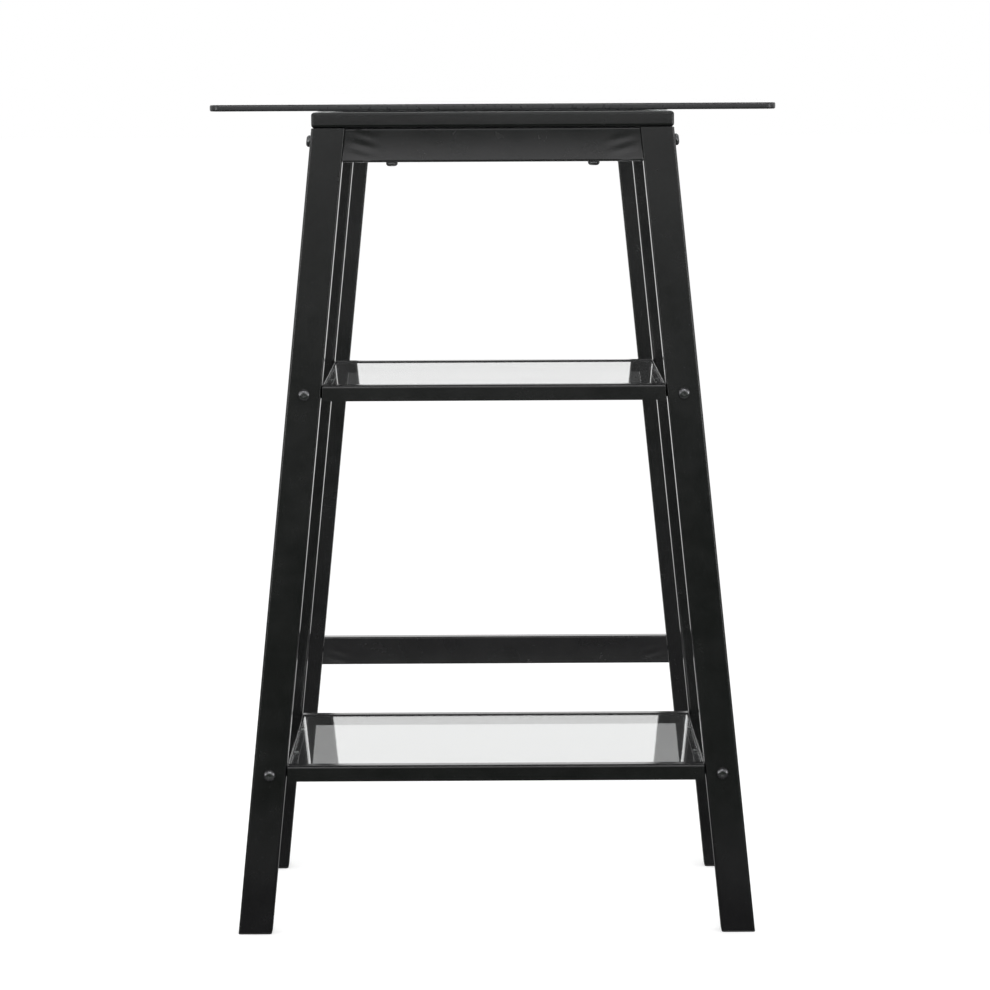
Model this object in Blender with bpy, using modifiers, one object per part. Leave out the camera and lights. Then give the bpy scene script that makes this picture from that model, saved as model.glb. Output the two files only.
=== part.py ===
"""A glass-topped drafting table on three leaning leg frames, with two glass shelves at one end.

Units are metres, +Z is up. The origin is on the floor under the middle of the table.
X runs across the table from left to right, and Y runs along it: the near end, with the
shelves, is at -Y and the far end is at +Y.
"""

import math

import bmesh
import bpy
from mathutils import Matrix

# Driving dimensions
TABLE_HEIGHT = 0.914
TOP_LENGTH = 1.067
TOP_DEPTH = 0.605
TOP_THICKNESS = 0.007
TOP_CORNER_RADIUS = 0.012
FRAME_LENGTH = 0.965
FRAME_TOP_WIDTH = 0.3925
FRAME_FOOT_WIDTH = 0.572
LEG_WIDTH = 0.037
LEG_DEPTH = 0.025
LEG_CORNER_RADIUS = 0.003
TUBE_WALL = 0.0015
RIM_HEIGHT = 0.0168
RIM_WIDTH = 0.025
RIM_EDGE_RADIUS = 0.0025
APRON_HEIGHT = 0.0370
APRON_DEPTH = 0.020
APRON_EDGE_RADIUS = 0.0025
CROSSBAR_BOLT_HEIGHT = 0.0230
END_PLATE = 0.005
STRETCHER_BOTTOM = 0.1516
SHELF_UNIT_DEPTH = 0.372
UPPER_SHELF_HEIGHT = 0.6091
LOWER_SHELF_HEIGHT = 0.1889
SHELF_BAR_HEIGHT = 0.018
SHELF_BAR = 0.015
SHELF_WALL = 0.0015
SHELF_LEDGE = 0.007
SHELF_EDGE_RADIUS = 0.0025
SHELF_GLASS_THICKNESS = 0.003
SHELF_GLASS_DROP = 0.0013
SHELF_GLASS_CLEARANCE = 0.001
SHELF_BOLT_HEIGHT = 0.0075
LUG_THICKNESS = 0.004
LUG_MARGIN = 0.011
LUG_INSET = 0.002
NUT_DIAMETER = 0.010
NUT_LENGTH = 0.005
TOP_PAD_DIAMETER = 0.014
TOP_PAD_HEIGHT = 0.0017
TOP_PAD_FROM_END = 0.060
SHELF_PAD_DIAMETER = 0.006
SHELF_PAD_HEIGHT = 0.0009
SHELF_PAD_FROM_END = 0.100
FOOT_FLANGE = 0.002
FOOT_PLUG_HEIGHT = 0.016
BOLT_HEAD_DIAMETER = 0.013
BOLT_HEAD_HEIGHT = 0.0044
BOLT_DIAMETER = 0.0064
BOLT_SOCKET = 0.0040
BOLT_SOCKET_DEPTH = 0.0024
BOLT_REACH = 0.008
RIM_BOLT_SPACING = 0.219

# Fits
GAP = 0.0003
HOLE_CLEARANCE = 0.0003
BEVEL_SEGMENTS = 2
ROUND_STEPS = 12
CUT_MARGIN = 0.002

# Heights that follow from the table height, from the glass down
GLASS_BOTTOM = TABLE_HEIGHT - TOP_THICKNESS
RIM_TOP = GLASS_BOTTOM - TOP_PAD_HEIGHT - 2 * GAP
RIM_BOTTOM = RIM_TOP - RIM_HEIGHT
LEG_TOP = RIM_BOTTOM - GAP
LEG_BOTTOM = FOOT_FLANGE + GAP
APRON_TOP = RIM_BOTTOM - GAP
APRON_BOTTOM = APRON_TOP - APRON_HEIGHT

# Places along the table: the leg frames' middles, and where the shelf frames start and end
NEAR_Y = -FRAME_LENGTH / 2 + LEG_DEPTH / 2
MIDDLE_Y = NEAR_Y + SHELF_UNIT_DEPTH - LEG_DEPTH
FAR_Y = FRAME_LENGTH / 2 - LEG_DEPTH / 2
SHELF_START = NEAR_Y - LEG_DEPTH / 2
SHELF_END = MIDDLE_Y - LEG_DEPTH / 2 - GAP
FRAMES = {"near": NEAR_Y, "middle": MIDDLE_Y, "far": FAR_Y}
SIDES = {"left": -1, "right": 1}

LEAN = (FRAME_FOOT_WIDTH - FRAME_TOP_WIDTH) / 2 / LEG_TOP
LEAN_ANGLE = math.atan(LEAN)


def leg_middle(z):
    """Distance of a leg's centre line from the table's centre plane at height z."""
    return FRAME_FOOT_WIDTH / 2 - LEG_WIDTH / 2 - LEAN * z


def leg_inside(z):
    """Distance of a leg's inner face from the table's centre plane at height z."""
    return leg_middle(z) - LEG_WIDTH / 2


def leg_outside(z):
    """Distance of a leg's outer face from the table's centre plane at height z."""
    return leg_middle(z) + LEG_WIDTH / 2


def clear_scene():
    """Removes every object, so that the script can run again in an open file."""
    for obj in list(bpy.data.objects):
        bpy.data.objects.remove(obj, do_unlink=True)


def make_collection(name):
    """Adds a collection under the scene's own."""
    collection = bpy.data.collections.new(name)
    bpy.context.scene.collection.children.link(collection)
    return collection


def make_material(name, colour, roughness, metallic=0.0, transmission=0.0):
    """Makes a Principled BSDF material."""
    material = bpy.data.materials.new(name)
    material.use_nodes = True
    shader = material.node_tree.nodes["Principled BSDF"]
    shader.inputs["Base Color"].default_value = (*colour, 1.0)
    shader.inputs["Roughness"].default_value = roughness
    shader.inputs["Metallic"].default_value = metallic
    shader.inputs["Transmission Weight"].default_value = transmission
    return material


def add_object(name, mesh, collection, material=None, location=(0, 0, 0)):
    """Adds an object for a mesh to a collection, at a place."""
    obj = bpy.data.objects.new(name, mesh)
    obj.location = location
    if material and not mesh.materials:
        mesh.materials.append(material)
    collection.objects.link(obj)
    return obj


def box_mesh(name, low, high, round_axis=None, radius=0.0):
    """Makes a box from its lowest to its highest corner, with the edges along one axis rounded."""
    form = bmesh.new()
    bmesh.ops.create_cube(form, size=1.0)
    for vertex in form.verts:
        vertex.co = [a if c < 0 else b for a, b, c in zip(low, high, vertex.co)]
    if round_axis is not None:
        along = [
            edge
            for edge in form.edges
            if abs(edge.verts[0].co[round_axis] - edge.verts[1].co[round_axis]) > radius
        ]
        bmesh.ops.bevel(
            form, geom=along, offset=radius, segments=BEVEL_SEGMENTS, profile=0.5, affect="EDGES"
        )
    mesh = bpy.data.meshes.new(name)
    form.to_mesh(mesh)
    form.free()
    return mesh


def prism_mesh(name, outline, reach):
    """Makes a prism across the table, as far as reach to each side, from its outline's (y, z) points."""
    form = bmesh.new()
    ends = [[form.verts.new((x, y, z)) for y, z in outline] for x in (-reach, reach)]
    for end in ends:
        form.faces.new(end)
    for left, right, last_left, last_right in zip(
        *ends, ends[0][-1:] + ends[0][:-1], ends[1][-1:] + ends[1][:-1]
    ):
        form.faces.new((left, right, last_right, last_left))
    bmesh.ops.recalc_face_normals(form, faces=form.faces)
    mesh = bpy.data.meshes.new(name)
    form.to_mesh(mesh)
    form.free()
    return mesh


def lean_mesh(mesh, side):
    """Shears a mesh inwards as it rises, as a leg on that side leans."""
    for vertex in mesh.vertices:
        vertex.co.x -= side * LEAN * vertex.co.z


def fit_between_legs(mesh, base, clearance):
    """Moves a crossbar's ends to the legs' inner faces, less a clearance. Its mesh starts at height base."""
    for vertex in mesh.vertices:
        reach = leg_inside(base + vertex.co.z) - clearance
        vertex.co.x = math.copysign(reach, vertex.co.x)


def shade_round(mesh):
    """Smooths the round faces and keeps the corners sharp."""
    mesh.shade_smooth()
    mesh.set_sharp_from_angle(angle=math.radians(35))


def bevel_edges(obj, width):
    """Rounds all edges of an object."""
    bevel = obj.modifiers.new("rounded edges", "BEVEL")
    bevel.width = width
    bevel.segments = BEVEL_SEGMENTS
    bevel.limit_method = "ANGLE"


def combine(obj, other, operation):
    """Adds a Boolean of another object to an object."""
    boolean = obj.modifiers.new(f"{operation.lower()} {other.name}", "BOOLEAN")
    boolean.operation = operation
    boolean.solver = "EXACT"
    boolean.object = other


class Builder:
    """Holds the collections and materials, and makes the table's pieces in them."""

    def __init__(self):
        self.parts = make_collection("drafting_table")
        self.cutters = make_collection("cutters")
        self.steel = make_material("black_powder_coated_steel", (0.012, 0.012, 0.013), 0.42, 0.2)
        self.bolt_steel = make_material("black_oxide_steel", (0.05, 0.05, 0.052), 0.3, 0.9)
        self.glass = make_material("clear_glass", (0.86, 0.93, 0.90), 0.02, 0.0, 1.0)
        self.plastic = make_material("black_plastic", (0.015, 0.015, 0.015), 0.55)
        self.rubber = make_material("clear_rubber", (0.7, 0.72, 0.72), 0.35, 0.0, 0.5)
        self.bolt_meshes = {}

    def piece(self, name, mesh, material, location=(0, 0, 0)):
        """Adds a sub-part."""
        return add_object(name, mesh, self.parts, material, location)

    def cutter(self, name, mesh, location=(0, 0, 0)):
        """Adds a cutter, which no render shows."""
        obj = add_object(name, mesh, self.cutters, None, location)
        obj.hide_render = True
        obj.display_type = "WIRE"
        return obj

    def round_bar(self, name, diameter, length, matrix):
        """Adds a hidden cylinder that starts at a matrix's origin and runs down its -Z axis."""
        form = bmesh.new()
        bmesh.ops.create_cone(
            form,
            cap_ends=True,
            segments=ROUND_STEPS,
            radius1=diameter / 2,
            radius2=diameter / 2,
            depth=length,
            matrix=Matrix.Translation((0, 0, -length / 2)),
        )
        mesh = bpy.data.meshes.new(name)
        form.to_mesh(mesh)
        form.free()
        obj = self.cutter(name, mesh)
        obj.matrix_world = matrix
        return obj

    def bolt_mesh(self, length):
        """Makes a button-head bolt, with its head on +Z and its shank from the origin down -Z."""
        if length in self.bolt_meshes:
            return self.bolt_meshes[length]
        head_radius = BOLT_HEAD_DIAMETER / 2
        rim = BOLT_HEAD_HEIGHT * 0.25
        dome_steps = 3
        outline = [(0.0, BOLT_HEAD_HEIGHT)]
        for step in range(1, dome_steps + 1):
            angle = math.radians(90) * step / dome_steps
            across = head_radius * math.sin(angle)
            outline.append((across, rim + (BOLT_HEAD_HEIGHT - rim) * math.cos(angle)))
        outline.append((head_radius, 0.0))
        outline.append((BOLT_DIAMETER / 2, 0.0))
        outline.append((BOLT_DIAMETER / 2, -length + GAP))
        outline.append((0.0, -length))
        mesh = bpy.data.meshes.new("bolt profile")
        edges = [(i, i + 1) for i in range(len(outline) - 1)]
        mesh.from_pydata([(x, 0.0, z) for x, z in outline], edges, [])
        template = self.cutter("bolt template", mesh)
        screw = template.modifiers.new("turned", "SCREW")
        screw.steps = ROUND_STEPS
        screw.render_steps = ROUND_STEPS
        screw.use_merge_vertices = True
        screw.merge_threshold = 0.0001
        socket = self.hexagon("bolt socket")
        combine(template, socket, "DIFFERENCE")
        baked = self.bake(template, f"bolt {length * 1000:.0f} mm")
        bpy.data.objects.remove(socket)
        baked.materials.clear()
        baked.materials.append(self.bolt_steel)
        shade_round(baked)
        self.bolt_meshes[length] = baked
        return baked

    def hexagon(self, name):
        """Makes the six-sided cutter of a bolt's socket."""
        form = bmesh.new()
        across_corners = BOLT_SOCKET / math.cos(math.radians(30))
        depth = BOLT_SOCKET_DEPTH + CUT_MARGIN
        middle = BOLT_HEAD_HEIGHT - BOLT_SOCKET_DEPTH + depth / 2
        off_the_head_edges = Matrix.Rotation(math.radians(180) / ROUND_STEPS, 4, "Z")
        bmesh.ops.create_cone(
            form,
            cap_ends=True,
            segments=6,
            radius1=across_corners / 2,
            radius2=across_corners / 2,
            depth=depth,
            matrix=Matrix.Translation((0, 0, middle)) @ off_the_head_edges,
        )
        mesh = bpy.data.meshes.new(name)
        form.to_mesh(mesh)
        form.free()
        return self.cutter(name, mesh)

    def bake(self, obj, name):
        """Turns an object with modifiers into a plain mesh and removes the object."""
        bpy.context.view_layer.update()
        graph = bpy.context.evaluated_depsgraph_get()
        mesh = bpy.data.meshes.new_from_object(obj.evaluated_get(graph))
        mesh.name = name
        bpy.data.objects.remove(obj)
        return mesh

    def bolt(self, name, matrix, length, *through):
        """Adds a bolt with its seat at a matrix's origin, and its hole through the pieces it crosses."""
        bolt = self.piece(name, self.bolt_mesh(length), self.bolt_steel)
        bolt.matrix_world = matrix @ Matrix.Translation((0, 0, GAP))
        outside = matrix @ Matrix.Translation((0, 0, CUT_MARGIN))
        hole = self.round_bar(
            f"hole for {name}",
            BOLT_DIAMETER + 2 * HOLE_CLEARANCE,
            length + 2 * CUT_MARGIN,
            outside,
        )
        for piece in through:
            combine(piece, hole, "DIFFERENCE")
        return bolt

    def leg(self, frame, side_name):
        """Adds a leg, a leaning tube that is open at both ends, cut level at its foot and its top."""
        side = SIDES[side_name]
        half = (LEG_WIDTH / 2, LEG_DEPTH / 2)
        name = f"{frame}_{side_name}_leg"
        low = (-half[0], -half[1], LEG_BOTTOM)
        high = (half[0], half[1], LEG_TOP)
        outer = box_mesh(name, low, high, 2, LEG_CORNER_RADIUS)
        lean_mesh(outer, side)
        shade_round(outer)
        foot = (side * leg_middle(0), FRAMES[frame], 0)
        leg = self.piece(name, outer, self.steel, foot)
        inside = [value - TUBE_WALL for value in half]
        bore = box_mesh(
            f"{name} bore",
            (-inside[0], -inside[1], LEG_BOTTOM - CUT_MARGIN),
            (inside[0], inside[1], LEG_TOP + CUT_MARGIN),
            2,
            LEG_CORNER_RADIUS - TUBE_WALL,
        )
        lean_mesh(bore, side)
        combine(leg, self.cutter(f"{name} bore", bore, foot), "DIFFERENCE")
        return leg

    def foot_plug(self, frame, side_name):
        """Adds the plastic plug that closes a leg's foot: a flange under the tube and a body inside it."""
        side = SIDES[side_name]
        name = f"{frame}_{side_name}_foot_plug"
        foot = (side * leg_middle(0), FRAMES[frame], 0)
        flange = box_mesh(
            name,
            (-LEG_WIDTH / 2, -LEG_DEPTH / 2, 0),
            (LEG_WIDTH / 2, LEG_DEPTH / 2, FOOT_FLANGE),
            2,
            LEG_CORNER_RADIUS,
        )
        lean_mesh(flange, side)
        plug = self.piece(name, flange, self.plastic, foot)
        reach = (LEG_WIDTH / 2 - TUBE_WALL - GAP, LEG_DEPTH / 2 - TUBE_WALL - GAP)
        body = box_mesh(
            f"{name} body",
            (-reach[0], -reach[1], FOOT_FLANGE / 2),
            (reach[0], reach[1], FOOT_PLUG_HEIGHT),
            2,
            LEG_CORNER_RADIUS - TUBE_WALL,
        )
        lean_mesh(body, side)
        combine(plug, self.cutter(f"{name} body", body, foot), "UNION")

    def crossbar(self, name, y, bottom):
        """Adds a tube between two legs, with plated ends cut to the legs' lean."""
        half = APRON_DEPTH / 2
        outer = box_mesh(name, (-1, -half, 0), (1, half, APRON_HEIGHT), 0, APRON_EDGE_RADIUS)
        fit_between_legs(outer, bottom, GAP)
        shade_round(outer)
        bar = self.piece(name, outer, self.steel, (0, y, bottom))
        cavity = box_mesh(
            f"{name} cavity",
            (-1, -half + TUBE_WALL, TUBE_WALL),
            (1, half - TUBE_WALL, APRON_HEIGHT - TUBE_WALL),
            0,
            APRON_EDGE_RADIUS - TUBE_WALL,
        )
        fit_between_legs(cavity, bottom, GAP + END_PLATE)
        combine(bar, self.cutter(f"{name} cavity", cavity, (0, y, bottom)), "DIFFERENCE")
        return bar

    def bolt_crossbar(self, name, bar, legs, y, height):
        """Bolts a crossbar's two ends to its legs, from the legs' outer faces and square to them."""
        length = (LEG_WIDTH * math.cos(LEAN_ANGLE)) + GAP + BOLT_REACH
        for side_name, side in SIDES.items():
            seat = Matrix.Translation((side * leg_outside(height), y, height))
            turn = Matrix.Rotation(side * (math.radians(90) - LEAN_ANGLE), 4, "Y")
            self.bolt(f"{name}_{side_name}_bolt", seat @ turn, length, legs[side_name], bar)

    def top_frame(self):
        """Adds the welded frame that carries the glass: a rim with a crossbar over the middle legs."""
        half = (FRAME_TOP_WIDTH / 2, FRAME_LENGTH / 2)
        low = (-half[0], -half[1], 0)
        high = (half[0], half[1], RIM_HEIGHT)
        place = (0, 0, RIM_BOTTOM)
        frame = self.piece("top_frame", box_mesh("top_frame", low, high), self.steel, place)
        bevel_edges(frame, RIM_EDGE_RADIUS)
        inner = half[0] - RIM_WIDTH
        bar = RIM_WIDTH / 2
        bays = {
            "near": (NEAR_Y + bar, MIDDLE_Y - bar),
            "far": (MIDDLE_Y + bar, FAR_Y - bar),
        }
        hollow = box_mesh(
            "top_frame hollow",
            [value + TUBE_WALL for value in low],
            [value - TUBE_WALL for value in high],
        )
        cavity = self.cutter("top_frame hollow", hollow, place)
        for bay, (start, end) in bays.items():
            wall = box_mesh(
                f"{bay} bay wall",
                (-inner - TUBE_WALL, start - TUBE_WALL, -CUT_MARGIN),
                (inner + TUBE_WALL, end + TUBE_WALL, RIM_HEIGHT + CUT_MARGIN),
            )
            combine(cavity, self.cutter(f"{bay} bay wall", wall, place), "DIFFERENCE")
        combine(frame, cavity, "DIFFERENCE")
        for bay, (start, end) in bays.items():
            opening = box_mesh(
                f"{bay} bay",
                (-inner, start, -CUT_MARGIN),
                (inner, end, RIM_HEIGHT + CUT_MARGIN),
            )
            combine(frame, self.cutter(f"{bay} bay", opening, place), "DIFFERENCE")
        return frame

    def bolt_top_frame(self, frame_name, apron, top_frame):
        """Bolts an apron up to the top frame with two bolts from below."""
        length = APRON_HEIGHT + GAP + TUBE_WALL + BOLT_REACH
        for side_name, side in SIDES.items():
            place = (side * RIM_BOLT_SPACING / 2, FRAMES[frame_name], APRON_BOTTOM)
            seat = Matrix.Translation(place) @ Matrix.Rotation(math.radians(180), 4, "X")
            name = f"{frame_name}_top_{side_name}_bolt"
            self.bolt(name, seat, length, apron, top_frame)

    def shelf_frame(self, shelf, height):
        """Adds a folded shelf frame with a ledge for the glass, and a lug against each leg."""
        name = f"{shelf}_shelf_frame"
        reach = leg_inside(height) - GAP
        ledge_top = SHELF_BAR_HEIGHT - SHELF_GLASS_DROP - SHELF_GLASS_THICKNESS
        ledge_top -= SHELF_PAD_HEIGHT + 2 * GAP
        ledge_bottom = ledge_top - SHELF_WALL
        place = (0, 0, height - SHELF_BAR_HEIGHT)
        outer = box_mesh(name, (-reach, SHELF_START, 0), (reach, SHELF_END, SHELF_BAR_HEIGHT))
        frame = self.piece(name, outer, self.steel, place)
        bevel_edges(frame, SHELF_EDGE_RADIUS)
        inner = reach - SHELF_WALL
        over = SHELF_BAR_HEIGHT + CUT_MARGIN
        front = SHELF_START + SHELF_BAR
        back = SHELF_END - SHELF_BAR
        flange = SHELF_BAR_HEIGHT - SHELF_WALL
        underside = [
            (SHELF_START + SHELF_WALL, -CUT_MARGIN),
            (SHELF_START + SHELF_WALL, flange),
            (front - SHELF_WALL, flange),
            (front - SHELF_WALL, ledge_bottom),
            (back + SHELF_WALL, ledge_bottom),
            (back + SHELF_WALL, flange),
            (SHELF_END - SHELF_WALL, flange),
            (SHELF_END - SHELF_WALL, -CUT_MARGIN),
        ]
        side_ledge = inner - SHELF_LEDGE
        window = (
            (-side_ledge, front + SHELF_LEDGE, CUT_MARGIN),
            (side_ledge, back - SHELF_LEDGE, over),
        )
        cuts = {
            "underside": prism_mesh(f"{name} underside", underside, inner),
            "well": box_mesh(f"{name} well", (-inner, front, ledge_top), (inner, back, over)),
            "window": box_mesh(f"{name} window", *window),
        }
        for cut, mesh in cuts.items():
            combine(frame, self.cutter(f"{name} {cut}", mesh, place), "DIFFERENCE")
        bolt_height = height - SHELF_BAR_HEIGHT + SHELF_BOLT_HEIGHT
        behind = LEG_DEPTH / 2 + GAP
        for frame_name, inward in (("near", 1), ("middle", -1)):
            face = FRAMES[frame_name] + inward * behind
            for side_name, side in SIDES.items():
                corner = f"{shelf} {frame_name} {side_name}"
                lug_end = leg_middle(bolt_height) + LUG_MARGIN
                xs = sorted((side * (reach - SHELF_WALL / 2), side * lug_end))
                ys = sorted((face, face + inward * LUG_THICKNESS))
                lug = box_mesh(
                    f"{corner} lug",
                    (xs[0], ys[0], LUG_INSET),
                    (xs[1], ys[1], 2 * SHELF_BOLT_HEIGHT - LUG_INSET),
                )
                combine(frame, self.cutter(f"{corner} lug", lug, place), "UNION")
                seat = Matrix.Translation((side * leg_middle(bolt_height), face, bolt_height))
                turn = Matrix.Rotation(math.radians(90) * inward, 4, "X")
                inside_lug = seat @ turn @ Matrix.Translation((0, 0, -LUG_THICKNESS / 2))
                nut_length = LUG_THICKNESS / 2 + NUT_LENGTH
                nut = self.round_bar(f"{corner} nut", NUT_DIAMETER, nut_length, inside_lug)
                combine(frame, nut, "UNION")
        return frame

    def bolt_shelf(self, shelf, frame, legs, height):
        """Bolts a shelf frame's lugs to the near legs from the front and the middle legs from behind."""
        bolt_height = height - SHELF_BAR_HEIGHT + SHELF_BOLT_HEIGHT
        length = LEG_DEPTH + GAP + LUG_THICKNESS + NUT_LENGTH + BOLT_REACH / 2
        for frame_name, outward in (("near", -1), ("middle", 1)):
            face = FRAMES[frame_name] + outward * LEG_DEPTH / 2
            for side_name, side in SIDES.items():
                seat = Matrix.Translation((side * leg_middle(bolt_height), face, bolt_height))
                turn = Matrix.Rotation(-outward * math.radians(90), 4, "X")
                name = f"{shelf}_shelf_{frame_name}_{side_name}_bolt"
                self.bolt(name, seat @ turn, length, legs[frame_name, side_name], frame)

    def pad(self, name, diameter, height, location):
        """Adds a round pad that stands on a frame and carries glass."""
        form = bmesh.new()
        bmesh.ops.create_cone(
            form,
            cap_ends=True,
            segments=ROUND_STEPS,
            radius1=diameter / 2,
            radius2=diameter / 2,
            depth=height,
            matrix=Matrix.Translation((0, 0, height / 2)),
        )
        mesh = bpy.data.meshes.new(name)
        form.to_mesh(mesh)
        form.free()
        shade_round(mesh)
        self.piece(name, mesh, self.rubber, location)

    def shelf_glass(self, shelf, height):
        """Adds a shelf's glass and the four pads that it lies on."""
        reach = leg_inside(height) - GAP - SHELF_WALL
        bottom = height - SHELF_GLASS_DROP - SHELF_GLASS_THICKNESS
        edge = SHELF_BAR + SHELF_GLASS_CLEARANCE
        mesh = box_mesh(
            f"{shelf}_shelf_glass",
            (-reach + SHELF_GLASS_CLEARANCE, SHELF_START + edge, 0),
            (reach - SHELF_GLASS_CLEARANCE, SHELF_END - edge, SHELF_GLASS_THICKNESS),
            2,
            SHELF_GLASS_THICKNESS / 2,
        )
        self.piece(f"{shelf}_shelf_glass", mesh, self.glass, (0, 0, bottom))
        ends = {"front": SHELF_START + SHELF_PAD_FROM_END, "back": SHELF_END - SHELF_PAD_FROM_END}
        for end_name, y in ends.items():
            for side_name, side in SIDES.items():
                name = f"{shelf}_shelf_{end_name}_{side_name}_pad"
                place = (side * (reach - SHELF_LEDGE / 2), y, bottom - GAP - SHELF_PAD_HEIGHT)
                self.pad(name, SHELF_PAD_DIAMETER, SHELF_PAD_HEIGHT, place)

    def glass_top(self):
        """Adds the glass top and the six pads that it lies on."""
        mesh = box_mesh(
            "glass_top",
            (-TOP_DEPTH / 2, -TOP_LENGTH / 2, 0),
            (TOP_DEPTH / 2, TOP_LENGTH / 2, TOP_THICKNESS),
            2,
            TOP_CORNER_RADIUS,
        )
        shade_round(mesh)
        glass = self.piece("glass_top", mesh, self.glass, (0, 0, GLASS_BOTTOM))
        bevel_edges(glass, TOP_THICKNESS / 4)
        pad_x = FRAME_TOP_WIDTH / 2 - RIM_WIDTH / 2
        reach = FRAME_LENGTH / 2 - TOP_PAD_FROM_END
        rows = {"near": -reach, "middle": MIDDLE_Y, "far": reach}
        for row, y in rows.items():
            for side_name, side in SIDES.items():
                place = (side * pad_x, y, RIM_TOP + GAP)
                name = f"top_{row}_{side_name}_pad"
                self.pad(name, TOP_PAD_DIAMETER, TOP_PAD_HEIGHT, place)


def main():
    """Builds the table from the floor up."""
    clear_scene()
    build = Builder()
    legs = {}
    for frame in FRAMES:
        for side_name in SIDES:
            legs[frame, side_name] = build.leg(frame, side_name)
            build.foot_plug(frame, side_name)
    top_frame = build.top_frame()
    for frame, y in FRAMES.items():
        pair = {side_name: legs[frame, side_name] for side_name in SIDES}
        apron = build.crossbar(f"{frame}_apron", y, APRON_BOTTOM)
        bolt_height = APRON_BOTTOM + CROSSBAR_BOLT_HEIGHT
        build.bolt_crossbar(f"{frame}_apron", apron, pair, y, bolt_height)
        build.bolt_top_frame(frame, apron, top_frame)
    far_legs = {side_name: legs["far", side_name] for side_name in SIDES}
    stretcher = build.crossbar("stretcher", FAR_Y, STRETCHER_BOTTOM)
    bolt_height = STRETCHER_BOTTOM + CROSSBAR_BOLT_HEIGHT
    build.bolt_crossbar("stretcher", stretcher, far_legs, FAR_Y, bolt_height)
    for shelf, height in (("lower", LOWER_SHELF_HEIGHT), ("upper", UPPER_SHELF_HEIGHT)):
        frame = build.shelf_frame(shelf, height)
        build.bolt_shelf(shelf, frame, legs, height)
        build.shelf_glass(shelf, height)
    build.glass_top()


main()
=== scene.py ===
"""Looks of a glass-topped drafting table on three leaning leg frames.

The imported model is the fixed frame. Each of its pieces is modelled again here at full fineness, in
its place, and dressed: satin powder-coated steel, black oxide bolts, clear glass, moulded plastic
and clear rubber. Units are metres, +Z is up, and the shelf end is at -Y.
"""

import logging
import math
from dataclasses import dataclass
from enum import Enum
from typing import Callable

import bmesh
import bpy
from mathutils import Matrix, Vector


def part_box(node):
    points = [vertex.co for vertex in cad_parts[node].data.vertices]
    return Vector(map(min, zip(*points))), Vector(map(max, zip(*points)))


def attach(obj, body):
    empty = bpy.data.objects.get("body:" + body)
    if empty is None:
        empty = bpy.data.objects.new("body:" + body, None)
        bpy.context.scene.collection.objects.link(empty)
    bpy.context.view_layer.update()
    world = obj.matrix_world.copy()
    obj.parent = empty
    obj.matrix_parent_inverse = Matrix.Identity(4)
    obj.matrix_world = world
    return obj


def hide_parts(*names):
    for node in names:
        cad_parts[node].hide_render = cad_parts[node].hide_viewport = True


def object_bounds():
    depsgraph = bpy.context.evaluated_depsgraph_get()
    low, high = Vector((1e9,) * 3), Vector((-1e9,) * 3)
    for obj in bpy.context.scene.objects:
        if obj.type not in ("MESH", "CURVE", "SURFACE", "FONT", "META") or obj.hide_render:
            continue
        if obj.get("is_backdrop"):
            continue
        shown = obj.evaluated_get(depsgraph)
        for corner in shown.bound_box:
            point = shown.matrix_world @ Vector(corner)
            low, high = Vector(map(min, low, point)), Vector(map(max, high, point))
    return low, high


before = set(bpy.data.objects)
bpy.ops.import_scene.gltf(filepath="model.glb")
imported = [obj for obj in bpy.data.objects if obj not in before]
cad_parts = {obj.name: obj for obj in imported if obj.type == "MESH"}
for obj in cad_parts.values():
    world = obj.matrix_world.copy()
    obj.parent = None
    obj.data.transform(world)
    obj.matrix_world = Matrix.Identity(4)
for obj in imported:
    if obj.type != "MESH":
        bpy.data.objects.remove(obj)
CAD_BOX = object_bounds()

LOG = logging.getLogger("drafting_table")
BODY = "root"
SHOWN_CREASE = math.radians(35)
SOFTENED_CREASE = math.radians(40)
Y_AXIS = Vector((0.0, 1.0, 0.0))
Z_AXIS = Vector((0.0, 0.0, 1.0))
# Two places this near count as the same place.
TOUCH = 1e-5
# An edge that rises less than this is level.
LEVEL = 1e-6
# The share of a length or a normal that makes a direction count as an axis's.
MOSTLY = 0.9
# How far a cutter passes the faces that it opens, and a drill the holes that it bores.
CUT_PAST = 0.010
DRILL_PAST = 0.002
TENTHS_OF_MM = 10_000
HEXAGON_SIDES = 6
ROUND_SIDES = 32
Piece = bpy.types.Object
Node = bpy.types.Node
Socket = bpy.types.NodeSocket
Pickable = bmesh.types.BMVert | bmesh.types.BMEdge | bmesh.types.BMFace
Colour = tuple[float, float, float]
Span = tuple[float, float]
Point = Vector | tuple[float, float, float]


class Side(Enum):
    """The table's two long sides, seen from the shelf end."""

    LEFT = "left"
    RIGHT = "right"

    @property
    def sign(self) -> int:
        """Which way along X the side lies."""
        return -1 if self is Side.LEFT else 1


class LegPair(Enum):
    """The three leg frames, from the shelf end."""

    NEAR = "near"
    MIDDLE = "middle"
    FAR = "far"


Tubes = dict[tuple[LegPair, Side], Piece]


class Element(Enum):
    """What an edit-mode selection holds."""

    VERTEX = "VERT"
    EDGE = "EDGE"
    FACE = "FACE"


class Joining(Enum):
    """What a Boolean does with the other object."""

    CUT = "DIFFERENCE"
    ADD = "UNION"


class Slot(Enum):
    """The record's material slots."""

    STEEL = "black_steel"
    BOLT = "bolt_steel"
    GLASS = "clear_glass"
    PLASTIC = "black_plastic"
    RUBBER = "clear_rubber"


# Modelling


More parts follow.
